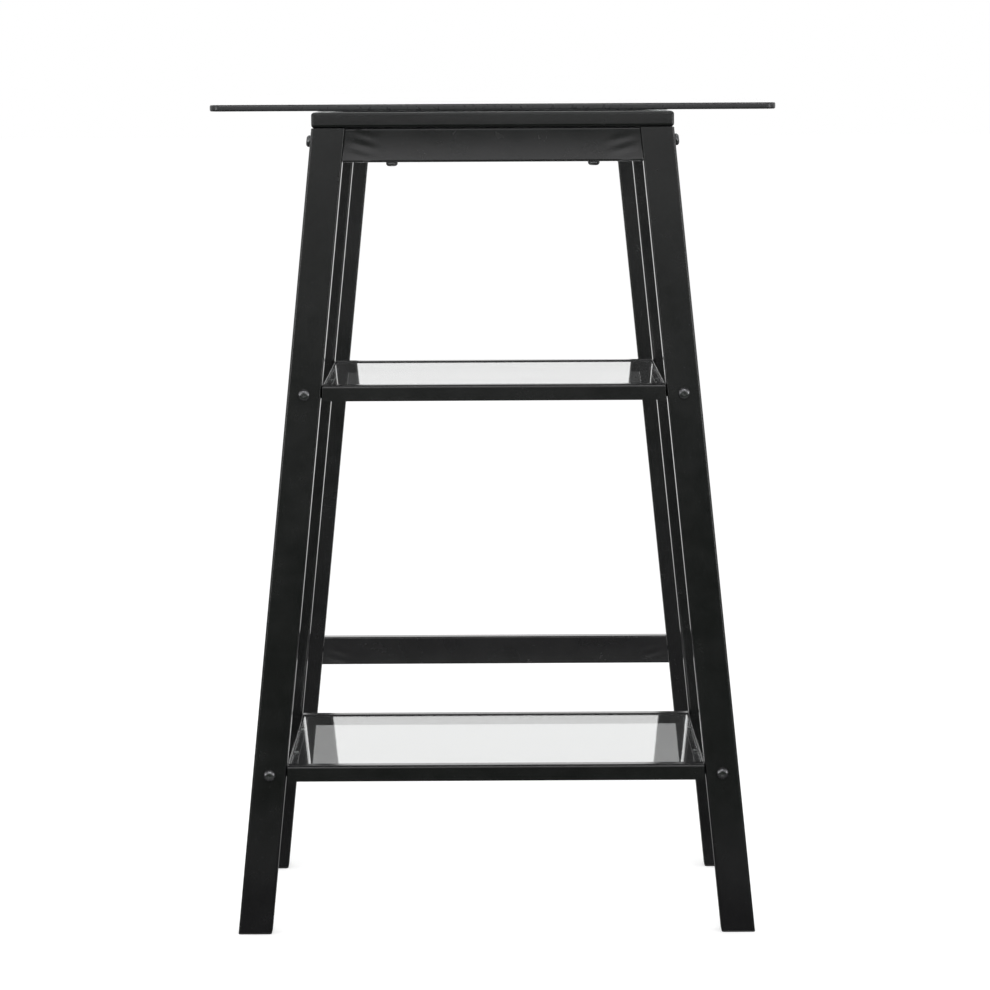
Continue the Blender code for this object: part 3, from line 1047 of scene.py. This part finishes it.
@dataclass
class Legs:
    """The six leaning legs and the plugs in their feet, a leg and a plug modelled for each side."""

    width: float = 0.037
    corner: float = 0.003
    wall: float = 0.0015
    edge: float = 0.0003
    corner_steps: int = 5
    plug_edge: float = 0.0009
    plug_edge_steps: int = 3
    plug_rib: float = 0.0004
    plug_ribs: int = 4
    plug_gap: float = 0.0003

    def __post_init__(self) -> None:
        """Reads how much the legs lean."""
        low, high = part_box("near_left_leg")
        self.lean = (high.x - low.x - self.width) / (high.z - low.z)

    def outer_normal(self, side: Side) -> Vector:
        """Gives the way a leg's outer face looks."""
        return Vector((side.sign, 0.0, self.lean)).normalized()

    def upright(self, name: str, low: Vector, high: Vector, side: Side) -> Piece:
        """Makes a leg's outer form as an upright bar with rounded corners over its foot.

        Args:
            name: The object's name.
            low: The lowest corner of the leg's or the plug's box.
            high: The highest corner.
            side: The leg's side of the table.

        Returns:
            The bar.
        """
        start = low.x if side is Side.LEFT else high.x - self.width
        foot_low = Vector((start, low.y, low.z))
        foot_high = Vector((start + self.width, high.y, high.z))
        bar = Bench.box(name, foot_low, foot_high)
        Bench.round_edges(bar, self.corner, self.corner_steps, lambda edge: runs_along(edge, 2))
        return bar

    def lean_over(self, piece: Piece, foot: float, side: Side) -> None:
        """Slides each level of a piece inwards by its height over the foot, as the leg leans."""
        for vertex in piece.data.vertices:
            vertex.co.x -= side.sign * self.lean * (vertex.co.z - foot)

    def leg(self, side: Side) -> Piece:
        """Models a near leg's tube, open at both ends.

        Args:
            side: Its side of the table.

        Returns:
            The tube, before its bolt holes are drilled.
        """
        low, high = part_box(f"near_{side.value}_leg")
        tube = self.upright("leg_model", low, high, side)
        Bench.pick(tube, Element.FACE, lambda face: abs(face.normal.z) > MOSTLY)
        bpy.ops.mesh.delete(type="ONLY_FACE")
        Bench.pick(tube, Element.VERTEX, lambda vertex: vertex.co.z > (low.z + high.z) / 2)
        shift = -side.sign * self.lean * (high.z - low.z)
        bpy.ops.transform.translate(value=(shift, 0.0, 0.0))
        Bench.clear_selection()
        Bench.thicken(tube, self.wall)
        for vertex in tube.data.vertices:
            vertex.co.z = min(max(vertex.co.z, low.z), high.z)
            if min(vertex.co.z - low.z, high.z - vertex.co.z) < self.wall:
                vertex.co.z = low.z if vertex.co.z < (low.z + high.z) / 2 else high.z
        return tube

    def plug(self, side: Side) -> Piece:
        """Models a near leg's foot plug: a flange flush with the tube, and a ribbed body inside.

        Args:
            side: The leg's side of the table.

        Returns:
            The plug.
        """
        low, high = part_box(f"near_{side.value}_foot_plug")
        flange_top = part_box(f"near_{side.value}_leg")[0].z - self.plug_gap
        plug = self.upright("plug_model", low, Vector((high.x, high.y, flange_top)), side)
        steps = self.plug_edge_steps
        Bench.round_edges(plug, self.plug_edge, steps, lambda edge: lies_under(edge, low.z))
        Bench.pick(plug, Element.FACE, lambda face: faces_along(face, Z_AXIS))
        bpy.ops.mesh.inset(thickness=self.wall + self.plug_gap)
        rise = (high.z - flange_top) / (2 * self.plug_ribs)
        half_width, half_depth = self.width / 2, (high.y - low.y) / 2
        start = low.x if side is Side.LEFT else high.x - self.width
        centre = (start + half_width, (low.y + high.y) / 2, flange_top)
        for step in range(2 * self.plug_ribs):
            bpy.ops.mesh.extrude_region_move(TRANSFORM_OT_translate={"value": (0, 0, rise)})
            inwards = self.plug_rib if step % 2 == 0 else -self.plug_rib
            scale = (1 - inwards / half_width, 1 - inwards / half_depth, 1.0)
            bpy.ops.transform.resize(value=scale, center_override=centre)
        Bench.clear_selection()
        self.lean_over(plug, low.z, side)
        Bench.shade(plug)
        return plug

    def build(self) -> Tubes:
        """Makes the legs and the plugs.

        Returns:
            Each leg's tube, to be drilled.
        """
        models = {side: (self.leg(side), self.plug(side)) for side in Side}
        tubes = {}
        for pair in LegPair:
            for side, (tube, plug) in models.items():
                leg = f"{pair.value}_{side.value}"
                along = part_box(f"{leg}_leg")[0].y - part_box(f"near_{side.value}_leg")[0].y
                place = Matrix.Translation((0.0, along, 0.0))
                tubes[pair, side] = Bench.copy(tube, f"{leg}_leg_tube", place)
                moulding = Bench.copy(plug, f"{leg}_foot_plug_moulding", place)
                hand_over(moulding, Slot.PLASTIC, f"{leg}_foot_plug")
        for tube, plug in models.values():
            bpy.data.objects.remove(tube)
            bpy.data.objects.remove(plug)
        return tubes

    def finish(self, tubes: Tubes) -> None:
        """Softens the cut edges of the drilled tubes and dresses them.

        Args:
            tubes: Each leg's drilled tube.
        """
        for (pair, side), tube in tubes.items():
            Bench.soften(tube, self.edge)
            Bench.shade(tube)
            hand_over(tube, Slot.STEEL, f"{pair.value}_{side.value}_leg")


@dataclass
class Crossbars:
    """The aprons between the leg tops and the stretcher between the far legs."""

    lean: float
    edge: float = 0.0025
    edge_steps: int = 5
    dented: float = 0.045
    dent_depth: float = 0.0005
    sag: float = 0.0006
    rows: int = 14
    columns: int = 36
    ripples: tuple[float, float, float] = (6.0, 9.0, 1.3)
    ripple_share: float = 0.4
    # A paler copy of the legs' powder coat: painted light, for the brighter light that the crossbars
    # catch.
    coat: PowderCoat = PowderCoat(
        "black_powder_coat_painted_lighter", (0.0130, 0.0128, 0.0136), (0.0165, 0.0163, 0.0172)
    )

    def __post_init__(self) -> None:
        """Starts the pattern of the bars."""
        self.pattern = Pattern(self.model)

    def model(self, reach: float, depth: float, height: float) -> Piece:
        """Models a bar with ends cut to the legs' lean, and slightly dented beside its welds.

        Args:
            reach: How far its lower corners reach to each side.
            depth: Its size along Y.
            height: Its height.

        Returns:
            The model, standing on the origin.
        """
        low, high = Vector((-reach, -depth / 2, 0.0)), Vector((reach, depth / 2, height))
        bar = Bench.box("bar_model", low, high)
        shorter = self.lean * height
        for sign in (-1, 1):
            Bench.pick(
                bar,
                Element.VERTEX,
                lambda vertex: vertex.co.z > low.z + TOUCH and vertex.co.x * sign > 0,
            )
            bpy.ops.transform.translate(value=(-sign * shorter, 0.0, 0.0))
        Bench.round_edges(bar, self.edge, self.edge_steps, lambda edge: runs_along(edge, 0))
        start = high.x - self.dented
        for sign in (-1, 1):
            Bench.pick(bar, Element.FACE, lambda face: True)
            bpy.ops.mesh.bisect(plane_co=(sign * start, 0, 0), plane_no=(1, 0, 0))
        Bench.pick(
            bar,
            Element.EDGE,
            lambda edge: abs(edge.verts[0].co.z - edge.verts[1].co.z) > height / 2
            and abs(edge.verts[0].co.y - edge.verts[1].co.y) < LEVEL,
        )
        bpy.ops.mesh.subdivide(number_cuts=self.rows)
        Bench.pick(
            bar,
            Element.EDGE,
            lambda edge: runs_along(edge, 0)
            and min(abs(vertex.co.x) for vertex in edge.verts) > start - TOUCH,
        )
        bpy.ops.mesh.subdivide(number_cuts=self.columns)
        Bench.clear_selection()
        self.dent(bar, low, high)
        return bar

    def bar(self, node: str) -> Piece:
        """Puts a bar where its CAD node is.

        Args:
            node: The crossbar's CAD node.

        Returns:
            The bar, before its bolt holes are drilled.
        """
        low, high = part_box(node)
        size = high - low
        place = Matrix.Translation((0.0, (low.y + high.y) / 2, low.z))
        return self.pattern.copy(f"{node}_bar", place, size.x / 2, size.y, size.z)

    def dent(self, bar: Piece, low: Vector, high: Vector) -> None:
        """Hollows the front and back a little, and presses rippled dents into them near the ends.

        Args:
            bar: The bar.
            low: Its lowest corner.
            high: Its highest corner.
        """
        middle = (low + high) / 2
        half = (high - low) / 2
        along, upwards, turn = self.ripples
        for vertex in bar.data.vertices:
            if abs(vertex.co.y - middle.y) < half.y - TOUCH:
                continue
            up = (vertex.co.z - middle.z) / half.z
            depth = self.sag
            run = (high.x - abs(vertex.co.x)) / self.dented
            if run <= 1:
                wave = math.sin(along * run + upwards * up + math.copysign(turn, vertex.co.x))
                rippled = 1 - self.ripple_share + self.ripple_share * wave
                depth += self.dent_depth * math.sin(math.pi * run) ** 2 * rippled
            vertex.co.y -= math.copysign(depth * (1 - up * up), vertex.co.y - middle.y)

    def finish(self, bar: Piece, node: str) -> None:
        """Shades a drilled crossbar and dresses it in its own coat, a paler copy of the legs' coat
        with the brighter light on the crossbars painted in.

        Args:
            bar: The drilled crossbar.
            node: Its CAD node.
        """
        Bench.shade(bar)
        hand_over(bar, Slot.STEEL, node)
        bar.data.materials[0] = self.coat.material()


@dataclass
class TopFrame:
    """The welded frame that carries the glass: a rim with a crossbar over the middle legs."""

    welds: Welds
    rim_width: float = 0.025
    edge: float = 0.0034
    edge_steps: int = 6

    def build(self, bolts: Bolts, spots: list[BoltSpot]) -> None:
        """Makes the frame, drills its bolt holes and lays its weld beads.

        Args:
            bolts: The bolts' sizes.
            spots: Where the bolts pass into the frame.
        """
        low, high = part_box("top_frame")
        rim = Bench.box("top_frame_welded", low, high)
        inner = high.x - self.rim_width
        ends = [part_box(f"{pair.value}_left_leg") for pair in LegPair]
        bays = ((ends[0][1].y, ends[1][0].y), (ends[1][1].y, ends[2][0].y))
        for start, end in bays:
            Bench.carve(rim, (-inner, start, low.z - CUT_PAST), (inner, end, high.z + CUT_PAST))
        Bench.soften(rim, self.edge, self.edge_steps)
        for spot in spots:
            bolts.drill(rim, spot)
        Bench.shade(rim)
        hand_over(rim, Slot.STEEL, "top_frame")
        for number, (start, end) in enumerate(bays):
            for side in Side:
                for tag, y in (("front", start), ("back", end)):
                    x = side.sign * inner
                    foot = Vector((x, y, low.z + self.edge))
                    head = Vector((x, y, high.z - self.edge))
                    self.welds.bead(f"top_frame_weld_{number}_{tag}_{side.value}", foot, head)


@dataclass
class Shelves:
    """The two shelf frames of folded sheet, with their lugs, weld nuts and recessed glass."""

    bolts: Bolts
    welds: Welds
    bar: float = 0.015
    wall: float = 0.0015
    ledge: float = 0.007
    fold: float = 0.0030
    fold_steps: int = 6
    edge: float = 0.0006
    edge_steps: int = 3
    lug: float = 0.004
    lug_half: float = 0.0055
    lug_corner: float = 0.003
    lug_corner_steps: int = 4
    nut_across: float = 0.010
    nut_length: float = 0.005
    nut_edge: float = 0.0004
    nut_clearance: float = 0.0001
    weld_inset: float = 0.0006
    glass_clearance: float = 0.001
    glass_corner: float = 0.0015
    glass_edge: float = 0.0005
    gap: float = 0.0003

    def __post_init__(self) -> None:
        """Starts the pattern of the weld nuts."""
        self.nuts = Pattern(self.nut_model)

    def folded_frame(self, name: str, low: Vector, high: Vector, ledge: float) -> Piece:
        """Makes the folded frame: hollow front and back bars, side plates and a ledge inside.

        Args:
            name: The piece's name.
            low: Its lowest corner.
            high: Its highest corner.
            ledge: The height of the ledge that carries the glass.

        Returns:
            The frame, before its lugs.
        """
        folded = Bench.box(name, low, high)
        top = high.z - TOUCH
        Bench.round_edges(
            folded,
            self.fold,
            self.fold_steps,
            lambda edge: runs_along(edge, 0) and edge.verts[0].co.z > top,
        )
        end = high.x - TOUCH
        Bench.round_edges(
            folded,
            self.edge,
            self.edge_steps,
            lambda edge: all(abs(vertex.co.x) > end for vertex in edge.verts)
            and not lies_under(edge, low.z),
        )
        inner = high.x - self.wall
        front, back = low.y + self.bar, high.y - self.bar
        over = high.z + CUT_PAST
        hollow = Bench.box(
            "hollow",
            (-inner, low.y + self.wall, low.z - DRILL_PAST),
            (inner, high.y - self.wall, high.z - self.wall),
        )
        under_flange = high.z - self.wall - TOUCH
        Bench.round_edges(
            hollow,
            self.fold - self.wall,
            self.edge_steps,
            lambda edge: runs_along(edge, 0) and edge.verts[0].co.z > under_flange,
        )
        tray_low = (-high.x, front - self.wall, ledge - self.wall)
        Bench.carve(hollow, tray_low, (high.x, back + self.wall, over))
        Bench.combine(folded, hollow, Joining.CUT)
        well = Bench.box("well", (-inner, front, ledge), (inner, back, over))
        Bench.round_edges(well, self.edge, self.edge_steps, lambda edge: lies_under(edge, ledge))
        Bench.combine(folded, well, Joining.CUT)
        window_low = (self.ledge - inner, front + self.ledge, low.z - CUT_PAST)
        Bench.carve(folded, window_low, (inner - self.ledge, back - self.ledge, over))
        self.round_mouth(folded, (inner, front, back), top)
        return folded

    def round_mouth(self, folded: Piece, mouth: tuple[float, float, float], top: float) -> None:
        """Rounds the upper edges round the glass.

        Args:
            folded: The folded frame.
            mouth: How far the mouth reaches to each side, and its front and back.
            top: The height that the upper edges lie over.
        """
        inner, front, back = mouth
        Bench.round_edges(
            folded,
            self.edge,
            self.edge_steps,
            lambda edge: all(
                vertex.co.z > top
                and abs(vertex.co.x) < inner + TOUCH
                and front - TOUCH < vertex.co.y < back + TOUCH
                for vertex in edge.verts
            ),
        )

    def nut_model(self, length: float) -> Piece:
        """Models a weld nut that stands on the origin.

        Args:
            length: The nut's length.

        Returns:
            The model.
        """
        foot, head = Vector(), Z_AXIS * length
        nut = Bench.rod("nut_model", hexagon_radius(self.nut_across), foot, head, HEXAGON_SIDES)
        Bench.soften(nut, self.nut_edge)
        radius = self.bolts.shank_radius + self.nut_clearance
        past = Z_AXIS * DRILL_PAST
        Bench.bore(nut, radius, foot - past, head + past, ROUND_SIDES)
        Bench.shade(nut)
        return nut

    def nut(self, name: str, spot: BoltSpot, start: float) -> None:
        """Puts a weld nut on the back of a lug, at a place along the shank of its bolt."""
        place = placed_at(spot.seat - spot.outward * start, -spot.outward)
        hand_over(self.nuts.copy(name, place, self.nut_length), Slot.BOLT)

    def lug_and_nut(
        self, folded: Piece, shelf: str, pair: LegPair, side: Side, reach: float
    ) -> BoltSpot:
        """Welds a lug to the frame against a leg, and bolts it.

        Args:
            folded: The shelf's folded frame.
            shelf: The shelf's name.
            pair: The leg's frame.
            side: Its side of the table.
            reach: How far the folded frame reaches from the table's middle.

        Returns:
            Where the bolt sits.
        """
        outer = side.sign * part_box(f"{shelf}_shelf_frame")[1].x
        leg_low, leg_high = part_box(f"{pair.value}_{side.value}_leg")
        inward = 1 if pair is LegPair.NEAR else -1
        face = (leg_high.y if inward > 0 else leg_low.y) + inward * self.gap
        across = sorted((side.sign * (reach - self.wall / 2), outer))
        along = sorted((face, face + inward * self.lug))
        tag = f"{pair.value}_{side.value}"
        spot = self.bolts.place(f"{shelf}_shelf_{tag}_bolt", -inward * Y_AXIS)
        levels = (spot.seat.z - self.lug_half, spot.seat.z + self.lug_half)
        lug_low, lug_high = zip(across, along, levels)
        lug = Bench.box("lug", lug_low, lug_high)
        Bench.round_edges(
            lug,
            self.lug_corner,
            self.lug_corner_steps,
            lambda edge: runs_along(edge, 1) and abs(edge.verts[0].co.x - outer) < TOUCH,
        )
        Bench.combine(folded, lug, Joining.ADD)
        self.bolts.drill(folded, spot)
        leg_depth = leg_high.y - leg_low.y
        self.nut(f"{shelf}_shelf_{tag}_weld_nut", spot, leg_depth + self.gap * 2 + self.lug)
        for end, height in zip(("low", "high"), levels):
            start = Vector((side.sign * reach, along[0] + self.weld_inset, height))
            finish = Vector((side.sign * reach, along[1] - self.weld_inset, height))
            self.welds.bead(f"{shelf}_shelf_{tag}_weld_{end}", start, finish)
        return spot

    def glass(self, shelf: str) -> None:
        """Makes a shelf's glass with ground edges.

        Args:
            shelf: Which shelf it is.
        """
        node = f"{shelf}_shelf_glass"
        glass = plate(f"{node}_plate", *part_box(node), self.glass_corner, self.glass_edge)
        grind_and_shade(hand_over(glass, Slot.GLASS, node))

    def build(self, tubes: Tubes) -> None:
        """Makes both shelves, and drills the legs that they are bolted to.

        Args:
            tubes: Each leg's tube.
        """
        for shelf in ("lower", "upper"):
            low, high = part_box(f"{shelf}_shelf_frame")
            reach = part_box(f"{shelf}_shelf_glass")[1].x + self.glass_clearance + self.wall
            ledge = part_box(f"{shelf}_shelf_front_left_pad")[0].z - self.gap
            frame_low = Vector((-reach, low.y, low.z))
            frame_high = Vector((reach, high.y, high.z))
            folded = self.folded_frame(f"{shelf}_shelf_frame_folded", frame_low, frame_high, ledge)
            for pair in (LegPair.NEAR, LegPair.MIDDLE):
                for side in Side:
                    spot = self.lug_and_nut(folded, shelf, pair, side, reach)
                    self.bolts.drill(tubes[pair, side], spot)
            Bench.shade(folded)
            hand_over(folded, Slot.STEEL, f"{shelf}_shelf_frame")
            self.glass(shelf)


def plate(name: str, low: Vector, high: Vector, corner: float, edge: float) -> Piece:
    """Makes a glass plate with rounded corners and edges.

    Args:
        name: The piece's name.
        low: Its lowest corner.
        high: Its highest corner.
        corner: The radius of its four corners.
        edge: The radius of its edges.

    Returns:
        The plate.
    """
    glass = Bench.box(name, low, high)
    Bench.round_edges(glass, corner, CORNER_STEPS, lambda item: runs_along(item, 2))
    Bench.round_edges(glass, edge, EDGE_STEPS, is_level)
    Bench.shade(glass)
    glass.visible_shadow = False
    return glass


def grind_and_shade(glass: Piece) -> None:
    """Gives a dressed plate its ground edge, painted dark grey as shade, on every face that isn't
    level.

    Args:
        glass: The dressed plate.
    """
    # The edge faces take the opaque dark grey of painted shade.
    glass.data.materials.append(GroundEdgePaintedShade().material())
    for face in glass.data.polygons:
        if abs(face.normal.z) < CLEAR_FACE:
            face.material_index = 1


@dataclass
class GlassTop:
    """The glass work surface."""

    corner: float = 0.012
    edge: float = 0.00175

    def build(self) -> None:
        """Makes the glass top with ground, rounded edges."""
        top = plate("glass_top_plate", *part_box("glass_top"), self.corner, self.edge)
        grind_and_shade(hand_over(top, Slot.GLASS, "glass_top"))


@dataclass
class Pads:
    """The round rubber pads between the glass and the steel."""

    steps: int = 32
    dish: float = 0.6
    edge: float = 0.0003
    side_steps: int = 7

    def __post_init__(self) -> None:
        """Starts the pattern of the pads."""
        self.pattern = Pattern(self.model)

    def model(self, radius: float, height: float) -> Piece:
        """Models a pad with a slightly bulging side and a dished top.

        Args:
            radius: The pad's radius.
            height: Its height.

        Returns:
            The model.
        """
        edge = min(self.edge, height / 4)
        outline = [(0.0, height - edge / 2), (radius * self.dish, height - edge / 2)]
        outline.append((radius - 2 * edge, height))
        for step in range(self.side_steps):
            angle = math.pi * (0.5 - step / (self.side_steps - 1))
            out = radius - edge + edge * math.cos(angle)
            outline.append((out, height / 2 + (height / 2 - edge / 4) * math.sin(angle)))
        outline.append((0.0, 0.0))
        pad = Bench.lathe("pad_model", outline, self.steps)
        Bench.shade(pad)
        return pad

    def pad(self, node: str) -> None:
        """Puts a pad where its CAD node is.

        Args:
            node: The pad's CAD node.
        """
        low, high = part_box(node)
        middle = (low + high) / 2
        place = Matrix.Translation((middle.x, middle.y, low.z))
        pad = self.pattern.copy(f"{node}_disc", place, high.x - middle.x, high.z - low.z)
        hand_over(pad, Slot.RUBBER, node)

    def build(self) -> None:
        """Makes every pad of the frame."""
        for node in sorted(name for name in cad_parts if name.endswith("_pad")):
            self.pad(node)


# The studio


@dataclass(frozen=True)
class Softbox:
    """A soft lamp: its place, where it looks, its size and power, and whether gloss shows it."""

    title: str
    place: Point
    target: Point
    size: Span
    power: float
    mirrored: bool


@dataclass(frozen=True)
class Fade:
    """A value that changes evenly over a stretch, and stays the same past its ends."""

    stretch: Span
    values: Span

    def over(self, nodes: Nodes, place: Socket) -> Socket:
        """Makes the value from a place along the stretch."""
        return nodes.spread(place, self.stretch, self.values)


@dataclass
class Studio:
    """The camera, the lamps, the white surroundings and the floor.

    What gloss shows of the room fades along Y from the front to the back, and over the height
    that a reflection looks to. The floor has a glow of its own for the camera, a sheen for what is
    mirrored in gloss, and another brightness for what is seen through glass.
    """

    camera_place: Point = (0.0005, -4.664, 0.9679)
    camera_pitch: float = 6.5456
    camera_roll: float = -0.298
    camera_lens: float = 140.15
    camera_reach: float = 200.0
    sensor_width: float = 36.0
    floor_size: float = 80.0
    floor_drop: float = 0.0004
    floor_colour: Colour = (0.60, 0.60, 0.60)
    floor_glow: Fade = Fade((1.0, 4.5), (0.56, 0.70))
    floor_sheen: Fade = Fade((-0.4, 4.0), (0.10, 0.95))
    floor_before: Fade = Fade((-1.2, -0.6), (1.0, 0.0))
    floor_before_colour: Colour = (0.032, 0.060, 0.027)
    floor_through: tuple[Fade, Fade] = (
        Fade((0.1, 0.55), (1.0, 0.56)),
        Fade((1.5, 5.0), (1.0, 0.25)),
    )
    ambient: float = 0.55
    room_along: Fade = Fade((-0.9, 0.1), (1.25, 1.04))
    room_low: Fade = Fade((0.085, 0.174), (1.02, 1.08))
    room_high: Fade = Fade((0.35, 0.8), (1.0, 0.10))
    softboxes: tuple[Softbox, ...] = (
        Softbox("overhead", (0.0, -0.3, 3.0), (0.0, 0.0, 0.4), (2.6, 2.6), 46.0, False),
        Softbox("front strip", (0.0, -3.6, 2.9), (0.0, 0.0, 0.6), (2.8, 0.7), 37.0, True),
        Softbox("left strip", (-2.6, -2.6, 0.6), (0.0, 0.0, 0.5), (0.5, 1.1), 10.0, True),
        Softbox("right strip", (2.6, -2.2, 0.6), (0.0, 0.0, 0.5), (0.5, 1.1), 11.0, True),
    )

    def camera(self) -> None:
        """Sets up the camera at the shelf end, just over the height of the table top."""
        data = bpy.data.cameras.new("camera")
        data.lens = self.camera_lens
        data.sensor_width = self.sensor_width
        data.clip_end = self.camera_reach
        camera = bpy.data.objects.new("camera", data)
        bpy.context.scene.collection.objects.link(camera)
        tilt = Matrix.Rotation(math.radians(90 - self.camera_pitch), 4, "X")
        roll = Matrix.Rotation(math.radians(self.camera_roll), 4, "Z")
        camera.matrix_world = Matrix.Translation(self.camera_place) @ tilt @ roll
        bpy.context.scene.camera = camera

    def lamps(self) -> None:
        """Hangs the softboxes, out of the camera's sight and out of sight through glass."""
        for box in self.softboxes:
            data = bpy.data.lights.new(box.title, "AREA")
            data.shape = "RECTANGLE"
            data.size, data.size_y = box.size
            data.energy = box.power
            lamp = bpy.data.objects.new(box.title, data)
            bpy.context.scene.collection.objects.link(lamp)
            look = Vector(box.place) - Vector(box.target)
            lamp.matrix_world = placed_at(Vector(box.place), look)
            lamp.visible_camera = False
            lamp.visible_glossy = box.mirrored
            lamp.visible_transmission = False

    def surroundings(self) -> None:
        """Makes the white background, and the room that metal and glass mirror."""
        world = bpy.data.worlds.new("studio")
        bpy.context.scene.world = world
        world.use_nodes = True
        nodes = Nodes(world.node_tree)
        background = world.node_tree.nodes["Background"]
        path = nodes.add("ShaderNodeLightPath")
        place = nodes.add("ShaderNodeTexCoord")
        parts = nodes.parts(place.outputs["Generated"])
        height = nodes.maths(
            "MULTIPLY",
            self.room_low.over(nodes, parts.outputs["Z"]),
            self.room_high.over(nodes, parts.outputs["Z"]),
        )
        room = nodes.maths("MULTIPLY", self.room_along.over(nodes, parts.outputs["Y"]), height)
        seen = nodes.maths(
            "MAXIMUM", path.outputs["Is Camera Ray"], path.outputs["Is Transmission Ray"]
        )
        unseen = nodes.either(path.outputs["Is Glossy Ray"], self.ambient, room)
        nodes.link(nodes.either(seen, unseen, 1.0), background.inputs["Strength"])
        background.inputs["Color"].default_value = (*WHITE, 1.0)

    def floor_gleam(self, nodes: Nodes, path: Node, along: Socket) -> Node:
        """Makes what gloss mirrors of the floor and what glass lets through of it.

        Args:
            nodes: The floor's nodes.
            path: The Light Path node.
            along: The place along Y.

        Returns:
            The emission node.
        """
        before = self.floor_before.over(nodes, along)
        mirrored = nodes.maths("MAXIMUM", self.floor_sheen.over(nodes, along), before)
        behind, far = (fade.over(nodes, along) for fade in self.floor_through)
        through = nodes.maths("MULTIPLY", behind, far)
        strength = nodes.either(path.outputs["Is Transmission Ray"], mirrored, through)
        tone = nodes.add("ShaderNodeMix", data_type="RGBA", blend_type="MULTIPLY")
        tone.inputs["Factor"].default_value = 1.0
        nodes.link(nodes.blend(before, WHITE, self.floor_before_colour), tone.inputs["A"])
        nodes.link(strength, tone.inputs["B"])
        gleam = nodes.add("ShaderNodeEmission")
        nodes.link(tone.outputs["Result"], gleam.inputs["Color"])
        return gleam

    def floor_finish(self) -> bpy.types.Material:
        """Makes the floor's material: pale paint that reads as white, and its gleam in gloss.

        Returns:
            The material.
        """
        material = bpy.data.materials.new("pale_floor")
        material.use_nodes = True
        nodes = Nodes(material.node_tree)
        nodes.tree.nodes.remove(nodes.tree.nodes["Principled BSDF"])
        path = nodes.add("ShaderNodeLightPath")
        place = nodes.add("ShaderNodeTexCoord")
        reach = nodes.add("ShaderNodeVectorMath", operation="LENGTH")
        nodes.link(place.outputs["Object"], reach.inputs[0])
        glow = self.floor_glow.over(nodes, reach.outputs["Value"])
        paint = nodes.add("ShaderNodeBsdfDiffuse")
        paint.inputs["Color"].default_value = (*self.floor_colour, 1.0)
        shine = nodes.add("ShaderNodeEmission")
        shown = nodes.maths("MULTIPLY", path.outputs["Is Camera Ray"], glow)
        nodes.link(shown, shine.inputs["Strength"])
        lit = nodes.add("ShaderNodeAddShader")
        nodes.link(paint.outputs["BSDF"], lit.inputs[0])
        nodes.link(shine.outputs["Emission"], lit.inputs[1])
        gleam = self.floor_gleam(nodes, path, nodes.parts(place.outputs["Object"]).outputs["Y"])
        both = nodes.add("ShaderNodeMixShader")
        nodes.link(path.outputs["Is Glossy Ray"], both.inputs["Fac"])
        nodes.link(lit.outputs["Shader"], both.inputs[1])
        nodes.link(gleam.outputs["Emission"], both.inputs[2])
        output = nodes.tree.nodes["Material Output"]
        nodes.link(both.outputs["Shader"], output.inputs["Surface"])
        return material

    def floor(self) -> None:
        """Lays the pale floor, which keeps a faint shadow of the table."""
        Bench.clear_selection()
        place = (0.0, 0.0, -self.floor_drop)
        bpy.ops.mesh.primitive_plane_add(size=self.floor_size, location=place)
        floor = Bench.named("floor")
        bpy.ops.object.transform_apply(location=True, rotation=True, scale=True)
        floor.data.materials.append(self.floor_finish())
        floor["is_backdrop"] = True

    def build(self) -> None:
        """Sets up the whole studio."""
        bpy.context.scene.view_settings.view_transform = "Standard"
        self.camera()
        self.lamps()
        self.surroundings()
        self.floor()


def bolt_the_frames(bolts: Bolts, legs: Legs, tubes: Tubes) -> list[BoltSpot]:
    """Makes the crossbars and bolts them to the legs, and the aprons to the top frame.

    Args:
        bolts: The bolts.
        legs: The legs' sizes.
        tubes: Each leg's tube.

    Returns:
        Where the bolts pass into the top frame.
    """
    crossbars = Crossbars(legs.lean)
    upward = []
    bars = [(pair, f"{pair.value}_apron") for pair in LegPair]
    bars.append((LegPair.FAR, "stretcher"))
    for pair, node in bars:
        bar = crossbars.bar(node)
        for side in Side:
            spot = bolts.place(f"{node}_{side.value}_bolt", legs.outer_normal(side))
            bolts.drill(tubes[pair, side], spot)
            bolts.drill(bar, spot)
            if node != "stretcher":
                spot = bolts.place(f"{pair.value}_top_{side.value}_bolt", -Z_AXIS)
                bolts.drill(bar, spot)
                upward.append(spot)
        crossbars.finish(bar, node)
    return upward


def main() -> None:
    """Builds the studio and the table."""
    logging.basicConfig(level=logging.INFO, format="%(message)s")
    Studio().build()
    bolts = Bolts()
    welds = Welds()
    legs = Legs()
    tubes = legs.build()
    upward = bolt_the_frames(bolts, legs, tubes)
    Shelves(bolts, welds).build(tubes)
    legs.finish(tubes)
    TopFrame(welds).build(bolts, upward)
    GlassTop().build()
    Pads().build()
    Bench.clear_selection()
    boxes = {"cad": CAD_BOX, "visual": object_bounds()}
    {name: [list(corner) for corner in box] for name, box in boxes.items()}


if __name__ == "__main__":
    main()
